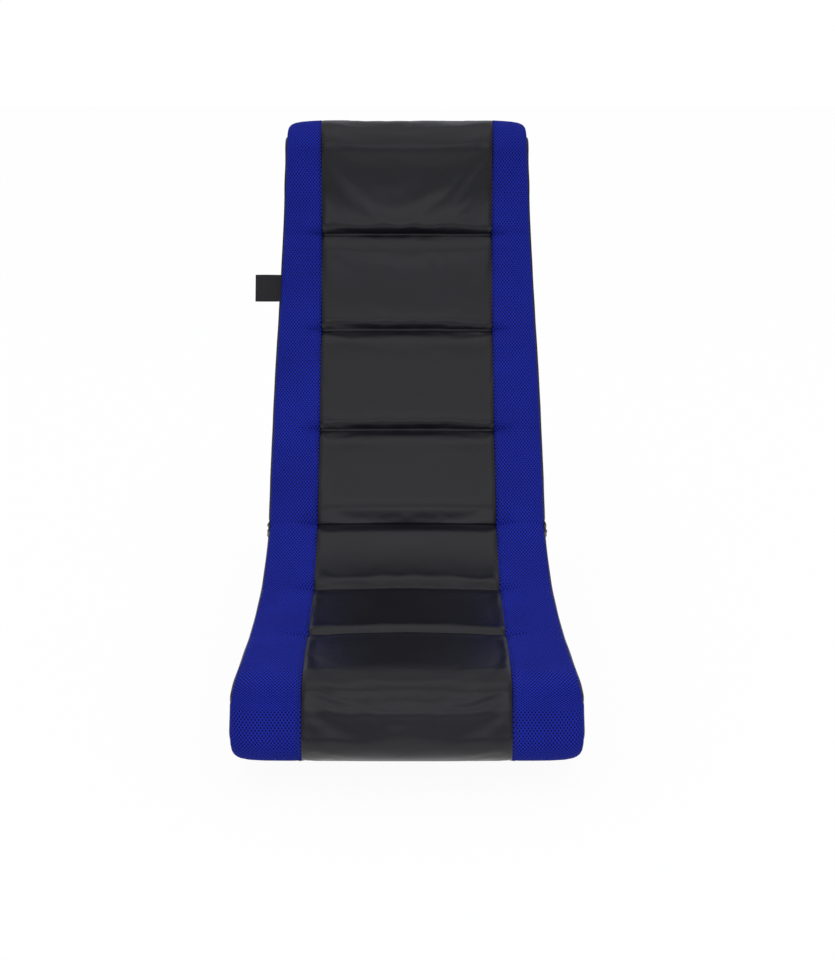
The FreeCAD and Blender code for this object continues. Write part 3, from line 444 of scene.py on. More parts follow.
def front_grid(body):
    """Front surface as a grid of points, with its texture places, seams and strips."""
    path = FRONT[body]
    seams, _ = cross_seams(body)
    ends = [0.0, path.length]
    s = graded(sorted(ends + seams), GRID_FINE, GRID_COARSE, GRID_REACH_ALONG)[:, None]
    edges = [-CENTRE_HALF, CENTRE_HALF]
    centre = graded(edges, GRID_FINE, GRID_COARSE_CENTRE, GRID_REACH_ACROSS)
    strip = graded([0.0, STRIP_LENGTH], GRID_FINE, GRID_COARSE, GRID_REACH_ACROSS)[1:]
    strip = strip / STRIP_LENGTH
    width_share, drop = mesh_station(strip)
    y0, z0, _ = path.place(s)
    rim = half_width(body, y0, z0) - RIM_SETBACK
    right = CENTRE_HALF + (rim - CENTRE_HALF) * width_share[None, :]
    x = np.concatenate([-right[:, ::-1], np.tile(centre, (len(s), 1)), right], axis=1)
    none = np.zeros_like(centre)
    drop = np.concatenate([drop[::-1], none, drop])[None, :]
    outward = np.concatenate([strip[::-1], none, strip])[None, :]
    inset, rim_fall = cover_inset(body, x, s, outward, drop)
    y, z, _ = path.place(np.broadcast_to(s, x.shape), inset)

    pinned = np.zeros(x.shape)
    for line in seams + ends:
        pinned[np.abs(s[:, 0] - line) < SAME_PLACE] = 1
    for line in edges:
        pinned[:, np.argmin(np.abs(x[0] - line))] = 1
    pinned[:, [0, 1, -2, -1]] = 1

    across = np.hypot(np.diff(x, axis=1), np.diff(rim_fall, axis=1)).cumsum(axis=1)
    across = np.concatenate([np.zeros((len(s), 1)), across], axis=1)
    across -= across[:, x.shape[1] // 2, None]
    low = len(strip)
    high = low + len(centre) - 1
    return {"points": vectors(x, y, z), "s": s, "inset": inset, "pinned": pinned,
            "texture": vectors(across, s),
            "strips": {"left": (0, low), "centre": (low, high), "right": (high, x.shape[1] - 1)}}


def simulate(body, grid):
    """Lets the sewn cover swell and pucker a little between its pinned seams."""
    start = grid["points"]
    scene = bpy.context.scene
    rows, columns = start.shape[:2]
    mesh = bpy.data.meshes.new("cover_cloth")
    faces = [f[::-1] for f in grid_faces(rows, columns)]
    mesh.from_pydata((start.reshape(-1, 3) * MM).tolist(), [], faces)
    cloth = bpy.data.objects.new("cover_cloth", mesh)
    scene.collection.objects.link(cloth)
    group = cloth.vertex_groups.new(name="sewn")
    weights = np.maximum(grid["pinned"], CLOTH_HOLD).ravel()
    for weight in np.unique(weights):
        group.add(np.nonzero(weights == weight)[0].tolist(), float(weight), "REPLACE")
    modifier = cloth.modifiers.new("cloth", "CLOTH")
    settings = modifier.settings
    settings.quality = 6
    settings.mass = 0.25
    settings.tension_stiffness = 18
    settings.compression_stiffness = 14
    settings.shear_stiffness = 8
    settings.bending_stiffness = 0.35
    settings.vertex_group_mass = "sewn"
    settings.pin_stiffness = 1.0
    settings.use_pressure = True
    settings.uniform_pressure_force = CLOTH_PRESSURE
    settings.shrink_min = CLOTH_SHRINK
    settings.effector_weights.gravity = CLOTH_GRAVITY
    modifier.collision_settings.use_collision = False
    for step in range(1, CLOTH_FRAMES + 1):
        scene.frame_set(step)
    shaped = cloth.evaluated_get(bpy.context.evaluated_depsgraph_get()).to_mesh()
    moved = np.zeros(rows * columns * 3)
    shaped.vertices.foreach_get("co", moved)
    moved = moved.reshape(start.shape) / MM
    bpy.data.objects.remove(cloth)
    scene.frame_set(1)
    step = CLOTH_SHARE * (moved - start)
    far = np.linalg.norm(step, axis=-1, keepdims=True)
    print("CLOTH", body, "mean", round(float(far.mean()), 2), "max", round(float(far.max()), 2))
    return start + step * np.minimum(1, CLOTH_CAP / np.maximum(far, 1e-9))


STITCH_PITCH = 5.0
STITCH_LENGTH = 3.3
STITCH_MARGIN = 4.0
THREAD_RADIUS = 0.36
THREAD_SIDES = 5
THREAD_END = 0.45
# A direction that no thread runs in.
THREAD_REFERENCE = (0.13, 0.99, 0.05)
# Shares of a stitch's length, and how far the thread's middle lies above the cover there.
STITCH_COURSE = [(0.0, -0.25), (0.2, 0.18), (0.5, 0.34), (0.8, 0.18), (1.0, -0.25)]
# Columns of the grid between a long seam and its row of stitches.
STITCH_COLUMNS = 2


def thread(points):
    """Vertices and faces of a short thread with thin ends along a few points."""
    tangent = np.gradient(points, axis=0)
    tangent /= np.linalg.norm(tangent, axis=1)[:, None]
    side = np.cross(tangent, THREAD_REFERENCE)
    side /= np.linalg.norm(side, axis=1)[:, None]
    up = np.cross(tangent, side)
    angle = np.linspace(0, 2 * math.pi, THREAD_SIDES, endpoint=False)[None, :, None]
    offset = np.cos(angle) * side[:, None] + np.sin(angle) * up[:, None]
    taper = np.ones(len(points))
    taper[0] = taper[-1] = THREAD_END
    return closed_rings(points[:, None] + offset * (THREAD_RADIUS * taper)[:, None, None])


def stitch_row(line, outward):
    """Raised threads along a line on the cover, as one list of vertices and faces."""
    travel = travelled(line)

    def at(place, lift):
        """A point of the line, lifted off the cover."""
        point, away = (np.array([np.interp(place, travel, values[:, k]) for k in range(3)])
                       for values in (line, outward))
        return point + away * lift

    starts = np.arange(STITCH_MARGIN, travel[-1] - STITCH_LENGTH - STITCH_MARGIN, STITCH_PITCH)
    return joined([thread(np.array([at(start + STITCH_LENGTH * share, lift)
                                    for share, lift in STITCH_COURSE])) for start in starts])


def seam_stitches(body, grid, front):
    """The rows of stitches beside the two long seams of a half."""
    _, _, bearing = FRONT[body].place(grid["s"][:, 0])
    outward = vectors(0.0, -np.sin(bearing), np.cos(bearing))
    low, high = grid["strips"]["centre"]
    rows = [stitch_row(front[:, column], outward)
            for column in (low - STITCH_COLUMNS, high + STITCH_COLUMNS)]
    return new_object(f"{body}_seam_stitches", *joined(rows))


def front_pieces(body):
    """The centre panel, the two mesh strips and the stitches of one half."""
    grid = front_grid(body)
    front = simulate(body, grid)
    depth = np.maximum(grid["inset"] + PANEL_LEAST, PANEL_BACK)
    y, z, _ = FRONT[body].place(np.broadcast_to(grid["s"], depth.shape), depth)
    back = vectors(front[..., 0], y, z)
    behind = grid["texture"].copy()
    behind[..., 0] += np.sign(behind[..., 0]) * (depth - grid["inset"])
    made = []
    for side, (low, high) in grid["strips"].items():
        part = np.s_[:, low:high + 1]
        uv = np.concatenate([grid["texture"][part].reshape(-1, 2), behind[part].reshape(-1, 2)])
        kind = "centre_upholstery" if side == "centre" else f"mesh_upholstery_{side}"
        made.append((side, new_object(f"{body}_{kind}", *slab(front[part], back[part]), uv)))
    return made, seam_stitches(body, grid, front)


# Side panels, covers, rolls at the fold and the tab

FOAM_TOP = 22.3
PANEL_THICKNESS = 8.0
LAYER_GAP = 0.3
ROLL_START = 1.0
ROLL_END = 8.0
END_SEARCH = 60.0
END_SAMPLES = 4001
UP = {"seat": -1.0, "back": 1.0}

# Rows and columns of a grid, with the rough length in millimetres that they are spread over.
SIDE_ROWS = (130, 560.0)
SIDE_COLUMNS = (34, 130.0)
COVER_ROWS = 110
COVER_COLUMNS = (60, 350.0)
EDGE_REACH = 8.0
EDGE_SHARES = np.array([0, 0.06, 0.2, 0.42, 0.7, 1.0])

SIDE_ROUNDING = 6.0
SIDE_PUFF = 1.0
SIDE_PUFF_REACH = 46.0
SIDE_CREASE = 0.4
SIDE_CREASE_SIZE = 62.0
SIDE_CREASE_REACH = 18.0
SIDE_SEED = {"seat": 5, "back": 6}

COVER_END_GAP = 0.4
COVER_ROLL_GAP = 0.5
COVER_INSET = 0.25
COVER_SEAM_DEPTH = 2.2
COVER_SEAM_WIDTH = 7.0
COVER_SLACK = 0.45
COVER_SLACK_SIZE = 95.0
COVER_SLACK_REACH = 25.0
COVER_THICKNESS = 1.0
COVER_FOOT = 3.0
COVER_SEED = 11


def along_fold(y, z):
    """Distance up the back from the plane that parts the two halves."""
    angle = math.radians(FOLD_ANGLE)
    return (y - FOLD[0]) * math.cos(angle) + (z - FOLD[1]) * math.sin(angle)


def fold_point(along, inset):
    """A place y, z by its distance up the back from the fold and its inset."""
    angle = math.radians(FOLD_ANGLE)
    return (FOLD[0] + along * math.cos(angle) + inset * math.sin(angle),
            FOLD[1] + along * math.sin(angle) - inset * math.cos(angle))


def end_beside_fold(path, inset, along):
    """The distance on a path at which its inset line crosses a plane beside the fold."""
    at_start = abs(along_fold(*path.place(0.0)[:2])) < abs(along_fold(*path.place(path.length)[:2]))
    low = 0.0 if at_start else path.length - END_SEARCH
    places = np.linspace(low, low + END_SEARCH, END_SAMPLES)
    y, z, _ = path.place(places, inset)
    return places[np.argmin(np.abs(along_fold(y, z) - along))]


def edge_shares(count, length):
    """Shares from 0 to 1 that lie close together near both ends."""
    ends = EDGE_REACH * EDGE_SHARES / length
    middle = np.linspace(ends[-1], 1 - ends[-1], count)
    return np.concatenate([ends[:-1], middle, 1 - ends[-2::-1]])


def side_piece(body, sign):
    """A padded side panel between the front seam and the rear or underside seam."""
    front, lower = FRONT[body], LOWER[body]
    along = UP[body] * (ROLL_END + LAYER_GAP)
    top_end = end_beside_fold(front, FOAM_TOP, along)
    low_end = end_beside_fold(lower, 0.0, along)
    if body == "seat":
        top_range, low_range = (0.0, top_end), (lower.length, low_end)
    else:
        top_range, low_range = (top_end, front.length), (low_end, 0.0)
    rows = edge_shares(*SIDE_ROWS)
    columns = edge_shares(*SIDE_COLUMNS)
    top = top_range[0] + rows * (top_range[1] - top_range[0])
    top_y, top_z, _ = front.place(top, FOAM_TOP + nose_ease(body, top))
    low_y, low_z, _ = lower.place(low_range[0] + rows * (low_range[1] - low_range[0]), 0.0)
    y = top_y[:, None] + (low_y - top_y)[:, None] * columns
    z = top_z[:, None] + (low_z - top_z)[:, None] * columns
    span = np.hypot(low_y - top_y, low_z - top_z)[:, None]
    near = np.minimum(columns * span, (1 - columns) * span)
    near = np.minimum(near, np.abs(along_fold(y, z)) - ROLL_END - LAYER_GAP)
    near = np.maximum(near, 0)
    outer = half_width(body, y, z)
    rounded = 1 - np.sqrt(1 - (1 - np.clip(near / SIDE_ROUNDING, 0, 1)) ** 2)
    puff = SIDE_PUFF * smooth(near / SIDE_PUFF_REACH)
    creases = SIDE_CREASE * waves(vectors(0.0, y, z), SIDE_SEED[body], SIDE_CREASE_SIZE)
    creases = creases * smooth(near / SIDE_CREASE_REACH)
    x = outer - SIDE_ROUNDING * rounded + puff + creases
    vertices, faces = slab(vectors(sign * x, y, z),
                           vectors(sign * (outer - PANEL_THICKNESS), y, z))
    uv = np.concatenate([vectors(y, z).reshape(-1, 2)] * 2)
    side = "right" if sign > 0 else "left"
    return new_object(f"{body}_side_upholstery_{side}", vertices, faces, uv)


def cover_piece(body, name):
    """Rear or underside cover, drawn tight between the side panels."""
    path = LOWER[body]
    fold_end = end_beside_fold(path, 0.0, UP[body] * (ROLL_END + COVER_ROLL_GAP))
    if body == "seat":
        low, high = fold_end, path.length - COVER_END_GAP
    else:
        low, high = COVER_END_GAP, fold_end
    rows = (low + (high - low) * edge_shares(COVER_ROWS, high - low))[:, None]
    share = edge_shares(*COVER_COLUMNS)[None, :] * 2 - 1
    y0, z0, _ = path.place(rows)
    half = half_width(body, y0, z0) - PANEL_THICKNESS - LAYER_GAP
    x = half * share
    near = np.minimum(half * (1 - np.abs(share)), np.minimum(rows - low, high - rows))
    seam = COVER_SEAM_DEPTH * (1 - np.clip(near / COVER_SEAM_WIDTH, 0, 1)) ** 2
    slack = COVER_SLACK * (1 + waves(vectors(x, y0, z0), COVER_SEED, COVER_SLACK_SIZE))
    inset = COVER_INSET + seam + slack * smooth(near / COVER_SLACK_REACH)
    y, z, _ = path.place(np.broadcast_to(rows, x.shape), inset)
    foot = np.maximum(inset + COVER_THICKNESS, COVER_FOOT)
    foot_y, foot_z, _ = path.place(np.broadcast_to(rows, x.shape), foot)
    vertices, faces = slab(vectors(x, y, z), vectors(x, foot_y, foot_z))
    return new_object(name, vertices, faces, np.concatenate([vectors(x, rows).reshape(-1, 2)] * 2))


# The closure of a half at the fold: a gathered roll along its rim and a sheet inside the roll.
CLOSURE_SIDE_GAP = 1.2
CLOSURE_REAR_GAP = 1.0
ROLL_CORNER = 12.0
ROLL_OVERLAP = 2.0
ROLL_SIDE_POINTS = 70
ROLL_CORNER_POINTS = 9
ROLL_REAR_POINTS = 84
ROLL_SIDES = 16
ROLL_SPREAD = 4.1
ROLL_HALF_WIDTH = 3.45
ROLL_END_SHARE = 0.4
ROLL_END_REACH = 7.0
GATHER = 0.16
GATHER_FINE = 3.1
GATHER_BROAD = 7.7
GATHER_DRIFT = 17.0
GATHER_SWAY = 1.3
GATHER_TWIST = 0.5
GATHER_TWIST_PITCH = 11.0
GATHER_PHASE = {"seat": 0.0, "back": 1.7}
SHEET_POINTS = (90, 40)
SHEET_MARGIN = 2.0
SHEET_NEAR = 1.8
SHEET_FAR = 4.0
SHEET_SAG = 0.35
SHEET_SAG_SIZE = 70.0
SHEET_SEED = 21
CLOSURE_HALF = FOLD_HALF - CLOSURE_SIDE_GAP
CLOSURE_REAR = FOLD_THICKNESS - CLOSURE_REAR_GAP


def roll_line():
    """The roll's middle line, as x and inset, down one side of a half's end and up the other."""
    corner_x, corner_d = CLOSURE_HALF - ROLL_CORNER, CLOSURE_REAR - ROLL_CORNER
    right = [(CLOSURE_HALF, d)
             for d in np.linspace(FOAM_TOP - ROLL_OVERLAP, corner_d, ROLL_SIDE_POINTS)]
    right += [(corner_x + ROLL_CORNER * math.cos(a), corner_d + ROLL_CORNER * math.sin(a))
              for a in np.linspace(0, math.pi / 2, ROLL_CORNER_POINTS)[1:]]
    right += [(x, CLOSURE_REAR) for x in np.linspace(corner_x, 0, ROLL_REAR_POINTS)[1:]]
    return np.array(right + [(-x, d) for x, d in right[-2::-1]])


def gathered_roll(body):
    """Vertices and faces of the roll, whose thickness gathers in uneven folds."""
    line = roll_line()
    tangent = np.gradient(line, axis=0)
    tangent /= np.linalg.norm(tangent, axis=1)[:, None]
    outward = np.stack([tangent[:, 1], -tangent[:, 0]], axis=1)
    travel = travelled(line)
    turn = np.linspace(0, 2 * math.pi, ROLL_SIDES, endpoint=False)
    phase = GATHER_PHASE[body]
    fine = np.sin(travel / GATHER_FINE + phase + GATHER_SWAY * np.sin(travel / GATHER_DRIFT))
    gather = ((fine + np.sin(travel / GATHER_BROAD + phase)) / 2)[:, None]
    twist = 1 + GATHER_TWIST * np.sin(turn * 2 + travel[:, None] / GATHER_TWIST_PITCH)
    spread = np.cos(turn)[None, :] * ROLL_SPREAD * (1 + GATHER * gather * twist)
    ends = smooth(np.minimum(travel, travel[-1] - travel) / ROLL_END_REACH)[:, None]
    spread = spread * (ROLL_END_SHARE + (1 - ROLL_END_SHARE) * ends)
    middle = (ROLL_START + ROLL_END) / 2
    along = UP[body] * (middle + np.sin(turn)[None, :] * ROLL_HALF_WIDTH)
    x = line[:, :1] + outward[:, :1] * spread
    inset = line[:, 1:] + outward[:, 1:] * spread
    return closed_rings(vectors(x, *fold_point(along, inset)))


def closing_sheet(body):
    """Vertices and faces of the sheet inside the roll."""
    across = np.linspace(SHEET_MARGIN - CLOSURE_HALF, CLOSURE_HALF - SHEET_MARGIN, SHEET_POINTS[0])
    down = np.linspace(FOAM_TOP, CLOSURE_REAR - SHEET_MARGIN, SHEET_POINTS[1])
    x, inset = np.meshgrid(across, down, indexing="ij")
    sag = SHEET_SAG * waves(vectors(x, inset, 0.0), SHEET_SEED, SHEET_SAG_SIZE)
    return slab(vectors(x, *fold_point(UP[body] * (SHEET_NEAR + sag), inset)),
                vectors(x, *fold_point(UP[body] * SHEET_FAR, inset)))


def fold_closure(body):
    """The sheet that closes a half at the fold, and the gathered roll round it."""
    shape = joined([gathered_roll(body), closing_sheet(body)])
    return new_object(f"{body}_fold_closure", *shape)


TAB_CHANNEL = 2
TAB_SHARE = 0.46
TAB_HEIGHT = 38.0
TAB_REACH = 34.0
TAB_INSIDE = 3.0
TAB_SEAM_LIFT = 1.4
TAB_THICKNESS = 0.28
TAB_ROWS = 20
TAB_RUN_POINTS = 26
TAB_BEND_POINTS = 9
TAB_BEND_REACH = 0.85
TAB_BEND_HALF = 0.6
TAB_HALF = 0.55
TAB_FLARE = 0.35
TAB_CURL = 0.9
TAB_CURL_TURN = 2.2
TAB_CURL_SLANT = 1.3
TAB_CURL_MIDDLE = 0.5


def tab_profile():
    """The folded tape from above: out from the seam, round its fold and back."""
    whole = TAB_REACH + TAB_INSIDE
    run = np.linspace(0, whole - 1, TAB_RUN_POINTS)
    flare = TAB_HALF + TAB_FLARE * np.sin(run / whole * math.pi)
    bend = np.linspace(-math.pi / 2, math.pi / 2, TAB_BEND_POINTS)[1:-1]
    profile = [(u, -f) for u, f in zip(run, flare)]
    profile += [(run[-1] + TAB_BEND_REACH * math.cos(a), TAB_BEND_HALF * math.sin(a)) for a in bend]
    profile += [(u, f) for u, f in zip(run[::-1], flare[::-1])]
    return np.array(profile)


def tab_piece():
    """The bare woven tab: a tape folded on itself, with its fold outside."""
    path = FRONT["back"]
    middle = SEAMS["back"][TAB_CHANNEL - 1] + TAB_SHARE * CHANNELS["back"][TAB_CHANNEL][0]
    y0, z0, bearing = path.place(middle, FOAM_TOP - TAB_SEAM_LIFT)
    up = np.array([0, math.cos(bearing), math.sin(bearing)])
    out = np.array([0, -math.sin(bearing), math.cos(bearing)])
    base = np.array([-(half_width("back", y0, z0) - TAB_INSIDE), y0, z0])
    profile = tab_profile()
    rows = np.linspace(-0.5, 0.5, TAB_ROWS)[:, None] * TAB_HEIGHT
    curl = TAB_CURL * np.sin(profile[:, 0] / (TAB_REACH + TAB_INSIDE) * TAB_CURL_TURN)
    curl = curl[None, :] * (rows / TAB_HEIGHT * TAB_CURL_SLANT + TAB_CURL_MIDDLE)
    tangent = np.gradient(profile, axis=0)
    normal = np.stack([tangent[:, 1], -tangent[:, 0]], axis=1)
    normal /= np.linalg.norm(normal, axis=1)[:, None]

    def layer(offset):
        """One face of the tape as a grid of points."""
        place = profile + normal * offset
        lift = place[None, :, 1] + curl
        return (base + np.array([-1.0, 0, 0]) * place[None, :, :1] + up * rows[..., None]
                + out * lift[..., None])

    vertices, faces = slab(layer(TAB_THICKNESS / 2), layer(-TAB_THICKNESS / 2))
    wide = vectors(profile[None, :, 0], rows).reshape(-1, 2)
    return new_object("side_tab", vertices, faces, np.concatenate([wide] * 2))


# Materials


def material(name):
    """A new material, its node tree and its surface shader."""
    made = bpy.data.materials.new(name)
    made.use_nodes = True
    return made, made.node_tree, made.node_tree.nodes["Principled BSDF"]


def fill(tree, socket, value):
    """Puts a number, a colour or another node's output into a socket."""
    if isinstance(value, bpy.types.NodeSocket):
        tree.links.new(value, socket)
    else:
        socket.default_value = value


def fill_named(tree, made, sockets):
    """Fills a node's sockets by their names."""
    for name, value in sockets.items():
        fill(tree, made.inputs[name], value)


def node(tree, kind, sockets, **attributes):
    """The first output of a new shader node, with its attributes set and its sockets filled."""
    made = tree.nodes.new("ShaderNode" + kind)
    for key, value in attributes.items():
        setattr(made, key, value)
    fill_named(tree, made, sockets)
    return made.outputs[0]


def in_order(tree, kind, values, **attributes):
    """As node, with the sockets filled in their order."""
    made = node(tree, kind, {}, **attributes).node
    for socket, value in zip(made.inputs, values):
        fill(tree, socket, value)
    return made.outputs[0]


def maths(tree, operation, *values):
    """The result of a sum, product or function of numbers and outputs."""
    return in_order(tree, "Math", values, operation=operation)


def object_place(tree):
    """The place on the object, in metres."""
    return tree.nodes.new("ShaderNodeTexCoord").outputs["Object"]


def separated(tree, place):
    """The three outputs of a place or direction."""
    return node(tree, "SeparateXYZ", {"Vector": place}).node.outputs


def ramp(tree, value, stops):
    """Colours between stops of a place and a colour."""
    made = tree.nodes.new("ShaderNodeValToRGB")
    elements = made.color_ramp.elements
    while len(elements) < len(stops):
        elements.new(0.5)
    for element, (place, colour) in zip(elements, stops):
        element.position = place
        element.color = (*colour, 1)
    tree.links.new(value, made.inputs[0])
    return made.outputs[0]


def shades(tree, value, colour, *stops):
    """Shades of a colour between stops of a place and a brightness."""
    return ramp(tree, value, [(place, [c * bright for c in colour]) for place, bright in stops])


def bump(tree, height, strength, distance, **sockets):
    """A normal that shows a height, in metres of relief."""
    return node(tree, "Bump", {"Height": height, "Strength": strength, "Distance": distance,
                               **sockets})


def vinyl():
    """Soft black vinyl with a fine pebble grain and a little slack."""
    made, tree, shader = material("black_vinyl")
    place = object_place(tree)
    broad = node(tree, "TexNoise", {"Vector": place, "Scale": 9, "Detail": 3})
    slack = node(tree, "TexNoise", {"Vector": place, "Scale": 26, "Detail": 2})
    fine = node(tree, "TexNoise", {"Vector": place, "Scale": 1900})
    pebbles = node(tree, "TexVoronoi", {"Vector": place, "Scale": 750},
                   feature="DISTANCE_TO_EDGE").node.outputs["Distance"]
    height = maths(tree, "ADD", maths(tree, "POWER", pebbles, 0.5),
                   maths(tree, "MULTIPLY", fine, 0.25))
    soft = bump(tree, slack, 0.5, 0.0016)
    fill_named(tree, shader, {
        "Base Color": shades(tree, broad, (0.0056, 0.0057, 0.0090), (0.3, 0.86), (0.7, 1.16)),
        "Roughness": node(tree, "MapRange", {"Value": broad, "To Min": 0.29, "To Max": 0.41}),
        "Normal": bump(tree, height, 0.35, 0.00012, Normal=soft),
        "Specular IOR Level": 0.40,
    })
    return made


MESH_PITCH_ACROSS = 0.0040
MESH_PITCH_ALONG = 0.0056


def spacer_mesh():
    """Blue spacer mesh: rows of holes in a lattice of yarn, over the mesh's own texture places. The
    holes show the deeper yarn, darkened with painted shade.
    """
    made, tree, shader = material("blue_spacer_mesh")
    uv = node(tree, "UVMap", {}, uv_map="metres")
    across, along, _ = separated(tree, uv)
    turn = 2 * math.pi
    column = maths(tree, "COSINE", maths(tree, "MULTIPLY", across, turn / MESH_PITCH_ACROSS))
    row = maths(tree, "COSINE", maths(tree, "MULTIPLY", along, turn / MESH_PITCH_ALONG))
    lattice = maths(tree, "MULTIPLY", column, row)
    hole = node(tree, "MapRange", {"Value": lattice, "From Min": 0.02, "From Max": 0.55},
                interpolation_type="SMOOTHSTEP")
    yarn = node(tree, "TexNoise", {"Vector": uv, "Scale": 1500})
    broad = node(tree, "TexNoise", {"Vector": object_place(tree), "Scale": 14})
    shade = maths(tree, "ADD", maths(tree, "MULTIPLY", yarn, 0.6),
                  maths(tree, "MULTIPLY", broad, 0.4))
    strand = ramp(tree, shade, [(0.3, (0.0135, 0.024, 0.335)), (0.7, (0.0215, 0.039, 0.52))])
    # Inside the holes: the deeper blue yarn, darkened with painted shade that stands in for the
    # hole's depth.
    inside = (0.0035, 0.004, 0.05, 1)
    mix = node(tree, "Mix", {}, data_type="RGBA").node
    fill_named(tree, mix, {"Factor": hole, "A": strand, "B": inside})
    relief = maths(tree, "SUBTRACT", maths(tree, "MULTIPLY", yarn, 0.25), hole)
    fill_named(tree, shader, {"Base Color": mix.outputs["Result"], "Roughness": 0.8,
                              "Normal": bump(tree, relief, 0.8, 0.0007),
                              "Specular IOR Level": 0.08})
    return made


def woven(name, pitch, colour):
    """Yarns that cross at a pitch, in metres, over the object's own places."""
    made, tree, shader = material(name)
    place = separated(tree, object_place(tree))
    across, along = (maths(tree, "SINE", maths(tree, "MULTIPLY", place[k], 2 * math.pi / pitch))
                     for k in (0, 2))
    crossing = maths(tree, "MULTIPLY", across, along)
    yarn = maths(tree, "ADD", maths(tree, "MULTIPLY", crossing, 0.5), 0.5)
    fill_named(tree, shader, {"Base Color": shades(tree, yarn, colour, (0.2, 0.6), (0.8, 1.4)),
                              "Normal": bump(tree, yarn, 0.6, 0.0003), "Roughness": 0.85})
    return made


def wood(name, light, dark, scale):
    """Wood with its grain along Z."""
    made, tree, shader = material(name)
    stretch = node(tree, "Mapping", {"Vector": object_place(tree), "Scale": (1, 1, 6)})
    grain = node(tree, "TexNoise", {"Vector": stretch, "Scale": scale, "Detail": 5,
                                    "Distortion": 0.6})
    fill_named(tree, shader, {"Base Color": ramp(tree, grain, [(0.35, dark), (0.65, light)]),
                              "Normal": bump(tree, grain, 0.3, 0.0004), "Roughness": 0.7})
    return made


def steel():
    """Zinc-plated steel with a faint spangle."""
    made, tree, shader = material("zinc_steel")
    spangle = node(tree, "TexVoronoi", {"Vector": object_place(tree), "Scale": 260}).node.outputs
    value = node(tree, "SeparateColor", {"Color": spangle["Color"]})
    fill_named(tree, shader, {
        "Base Color": ramp(tree, value, [(0.0, (0.42, 0.43, 0.44)), (1.0, (0.6, 0.61, 0.62))]),
        "Normal": bump(tree, spangle["Distance"], 0.1, 0.0002),
        "Metallic": 1.0,
        "Roughness": 0.38,
    })
    return made


def paint(obj, surface):
    """Gives an object one material."""
    obj.data.materials.clear()
    obj.data.materials.append(surface)


VINYL = vinyl()
BLUE = spacer_mesh()
PINE = wood("pine", (0.62, 0.45, 0.26), (0.45, 0.29, 0.14), 40)
BOARD = wood("hardboard", (0.30, 0.19, 0.10), (0.22, 0.13, 0.06), 90)
STEEL = steel()
TAPE = woven("black_tape", 0.0011, (0.017, 0.017, 0.018))
THREAD = woven("black_thread", 0.0006, (0.008, 0.008, 0.012))


# The pieces on their bodies

BODY = {"seat": "seat", "back": "backrest"}


def yields_to_fold(piece):
    """Gives a piece a mesh of its own."""
    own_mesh(piece)


def dress(piece, half, surface):
    """Puts a piece on the body of its half, with its material."""
    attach(piece, BODY[half])
    paint(piece, surface)


for half in ("seat", "back"):
    panels, stitches = front_pieces(half)
    dress(stitches, half, THREAD)
    yields_to_fold(stitches)
    for side, piece in panels:
        if side == "centre":
            dress(piece, half, VINYL)
            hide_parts(f"{half}_centre_panel", f"{half}_foam")
        else:
            dress(piece, half, BLUE)
            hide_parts(f"{half}_mesh_panel_{side}")
        yields_to_fold(piece)

for half, cover in (("seat", "underside_cover"), ("back", "rear_cover")):
    others = [(side_piece(half, sign), [f"{half}_side_panel_{side}", f"{half}_side_foam_{side}"])
              for side, sign in (("left", -1), ("right", 1))]
    others.append((cover_piece(half, cover + "_vinyl"), [cover]))
    others.append((fold_closure(half), [f"{half}_end_panel"]))
    for piece, nodes in others:
        dress(piece, half, VINYL)
        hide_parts(*nodes)

tab = tab_piece()
dress(tab, "back", TAPE)
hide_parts("side_label")

# The foam is all inside pieces that replace it, so its surface never shows.
SLOT_SURFACES = {"black_vinyl": VINYL, "blue_mesh": BLUE, "foam": BLUE, "pine": PINE,
                 "hardboard": BOARD, "steel": STEEL, "black_tape": TAPE}
for row in frame["record"]["subparts"]:
    paint(frame["nodes"][row["node"]], SLOT_SURFACES[row["material_slot"]])


# Stage, in metres and degrees

FLOOR_HALF = 6.0
FLOOR_GREY = 0.86
FLOOR_GLOW = 1.03
FLOOR_GLOW_SHARE = 0.92
SKY_STRENGTH = 0.85
# The studio from straight below (0) over the horizon (0.5) to straight above (1).
SKY = [(0.0, (0.6, 0.62, 0.66)), (0.49, (0.4, 0.41, 0.45)), (0.50, (0.03, 0.03, 0.05)),
       (0.55, (0.04, 0.04, 0.06)), (0.60, (0.70, 0.71, 0.80)), (0.80, (0.76, 0.76, 0.80)),
       (0.90, (0.62, 0.62, 0.64)), (1.0, (0.72, 0.72, 0.74))]
LAMP_TARGET = (0.0, 0.0, 0.3)
# Name, place, width and height of each lamp.
LAMPS = [("overhead", (0.0, -0.6, 3.2), 3.0, 3.0), ("front", (0.0, -3.6, 1.9), 3.0, 1.6)]
LAMP_POWER = 14
CAMERA_PLACE = (0.0, -1.967, 0.9591)
CAMERA_TILT = 70.0
CAMERA_LENS = 60
CAMERA_SENSOR = 36
CAMERA_SHIFT = 0.011
WHITE = (1, 1, 1, 1)


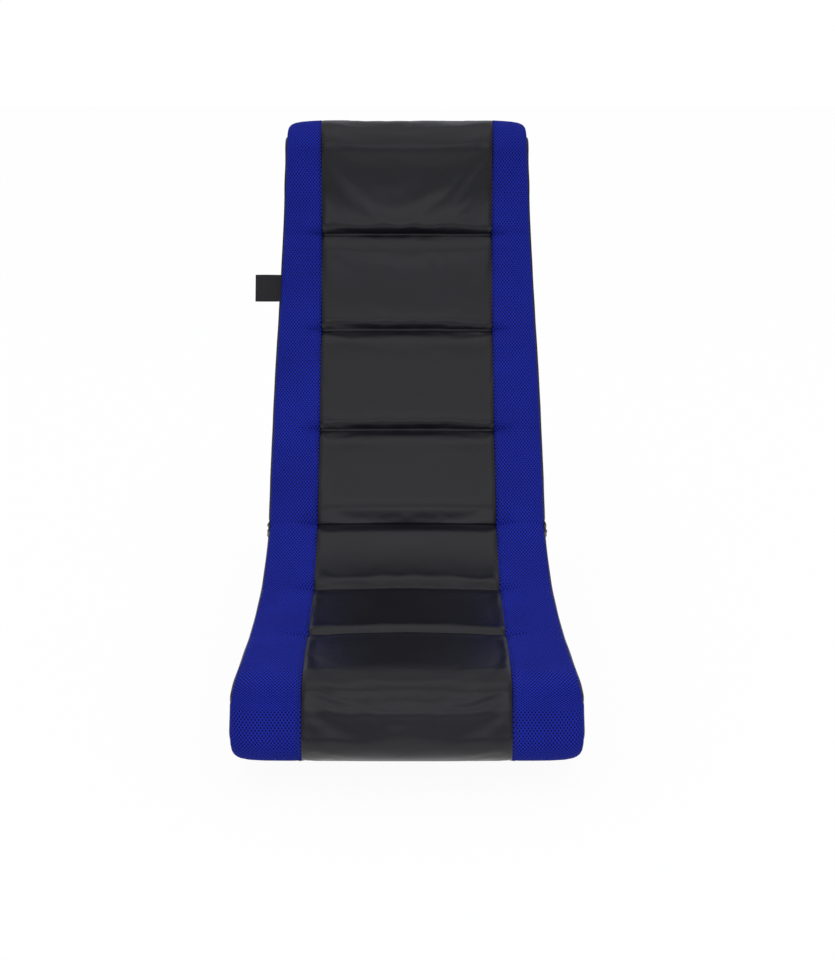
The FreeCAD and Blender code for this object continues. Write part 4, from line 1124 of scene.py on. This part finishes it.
def build_floor():
    """A pale floor that is seen as nearly white and keeps the object's shadow."""
    mesh = bpy.data.meshes.new("floor")
    square = [(-1, -1), (1, -1), (1, 1), (-1, 1)]
    mesh.from_pydata([(x * FLOOR_HALF, y * FLOOR_HALF, 0) for x, y in square], [], [(0, 1, 2, 3)])
    floor = bpy.data.objects.new("floor", mesh)
    bpy.context.scene.collection.objects.link(floor)
    surface, tree, shader = material("pale_floor")
    fill_named(tree, shader, {"Base Color": (FLOOR_GREY, FLOOR_GREY, FLOOR_GREY, 1),
                              "Roughness": 0.9})
    lit = shader.outputs[0]
    glow = node(tree, "Emission", {"Color": WHITE, "Strength": FLOOR_GLOW})
    shaded = in_order(tree, "MixShader", (FLOOR_GLOW_SHARE, lit, glow))
    rays = tree.nodes.new("ShaderNodeLightPath").outputs
    shown = maths(tree, "MAXIMUM", rays["Is Camera Ray"], rays["Is Glossy Ray"])
    seen = in_order(tree, "MixShader", (shown, lit, shaded))
    tree.links.new(seen, tree.nodes["Material Output"].inputs[0])
    paint(floor, surface)


def build_world():
    """A soft studio sky, seen as white where the camera looks past the floor."""
    world = bpy.data.worlds.new("studio")
    bpy.context.scene.world = world
    world.use_nodes = True
    tree = world.node_tree
    tree.nodes.clear()
    direction = tree.nodes.new("ShaderNodeTexCoord").outputs["Generated"]
    rise = node(tree, "MapRange", {"Value": separated(tree, direction)[2],
                                   "From Min": -1, "From Max": 1})
    soft = node(tree, "Background", {"Color": ramp(tree, rise, SKY), "Strength": SKY_STRENGTH})
    white = node(tree, "Background", {"Color": WHITE, "Strength": 1.0})
    camera_ray = tree.nodes.new("ShaderNodeLightPath").outputs["Is Camera Ray"]
    mix = in_order(tree, "MixShader", (camera_ray, soft, white))
    tree.links.new(mix, tree.nodes.new("ShaderNodeOutputWorld").inputs[0])


def build_lamp(name, place, width, height):
    """A soft rectangular lamp that faces the middle of the object."""
    data = bpy.data.lights.new(name, "AREA")
    data.shape = "RECTANGLE"
    data.size, data.size_y = width, height
    data.energy = LAMP_POWER
    lamp = bpy.data.objects.new(name, data)
    lamp.location = place
    direction = Vector(LAMP_TARGET) - Vector(place)
    lamp.rotation_euler = direction.to_track_quat("-Z", "Y").to_euler()
    bpy.context.scene.collection.objects.link(lamp)


def build_camera():
    """The photograph's view, with the depth of field off."""
    data = bpy.data.cameras.new("camera")
    data.lens = CAMERA_LENS
    data.sensor_width = CAMERA_SENSOR
    data.shift_x = CAMERA_SHIFT
    camera = bpy.data.objects.new("camera", data)
    camera.location = CAMERA_PLACE
    camera.rotation_euler = (math.radians(CAMERA_TILT), 0, 0)
    bpy.context.scene.collection.objects.link(camera)
    bpy.context.scene.camera = camera


bpy.context.scene.view_settings.view_transform = "Standard"
build_floor()
build_world()
for lamp in LAMPS:
    build_lamp(*lamp)
build_camera()
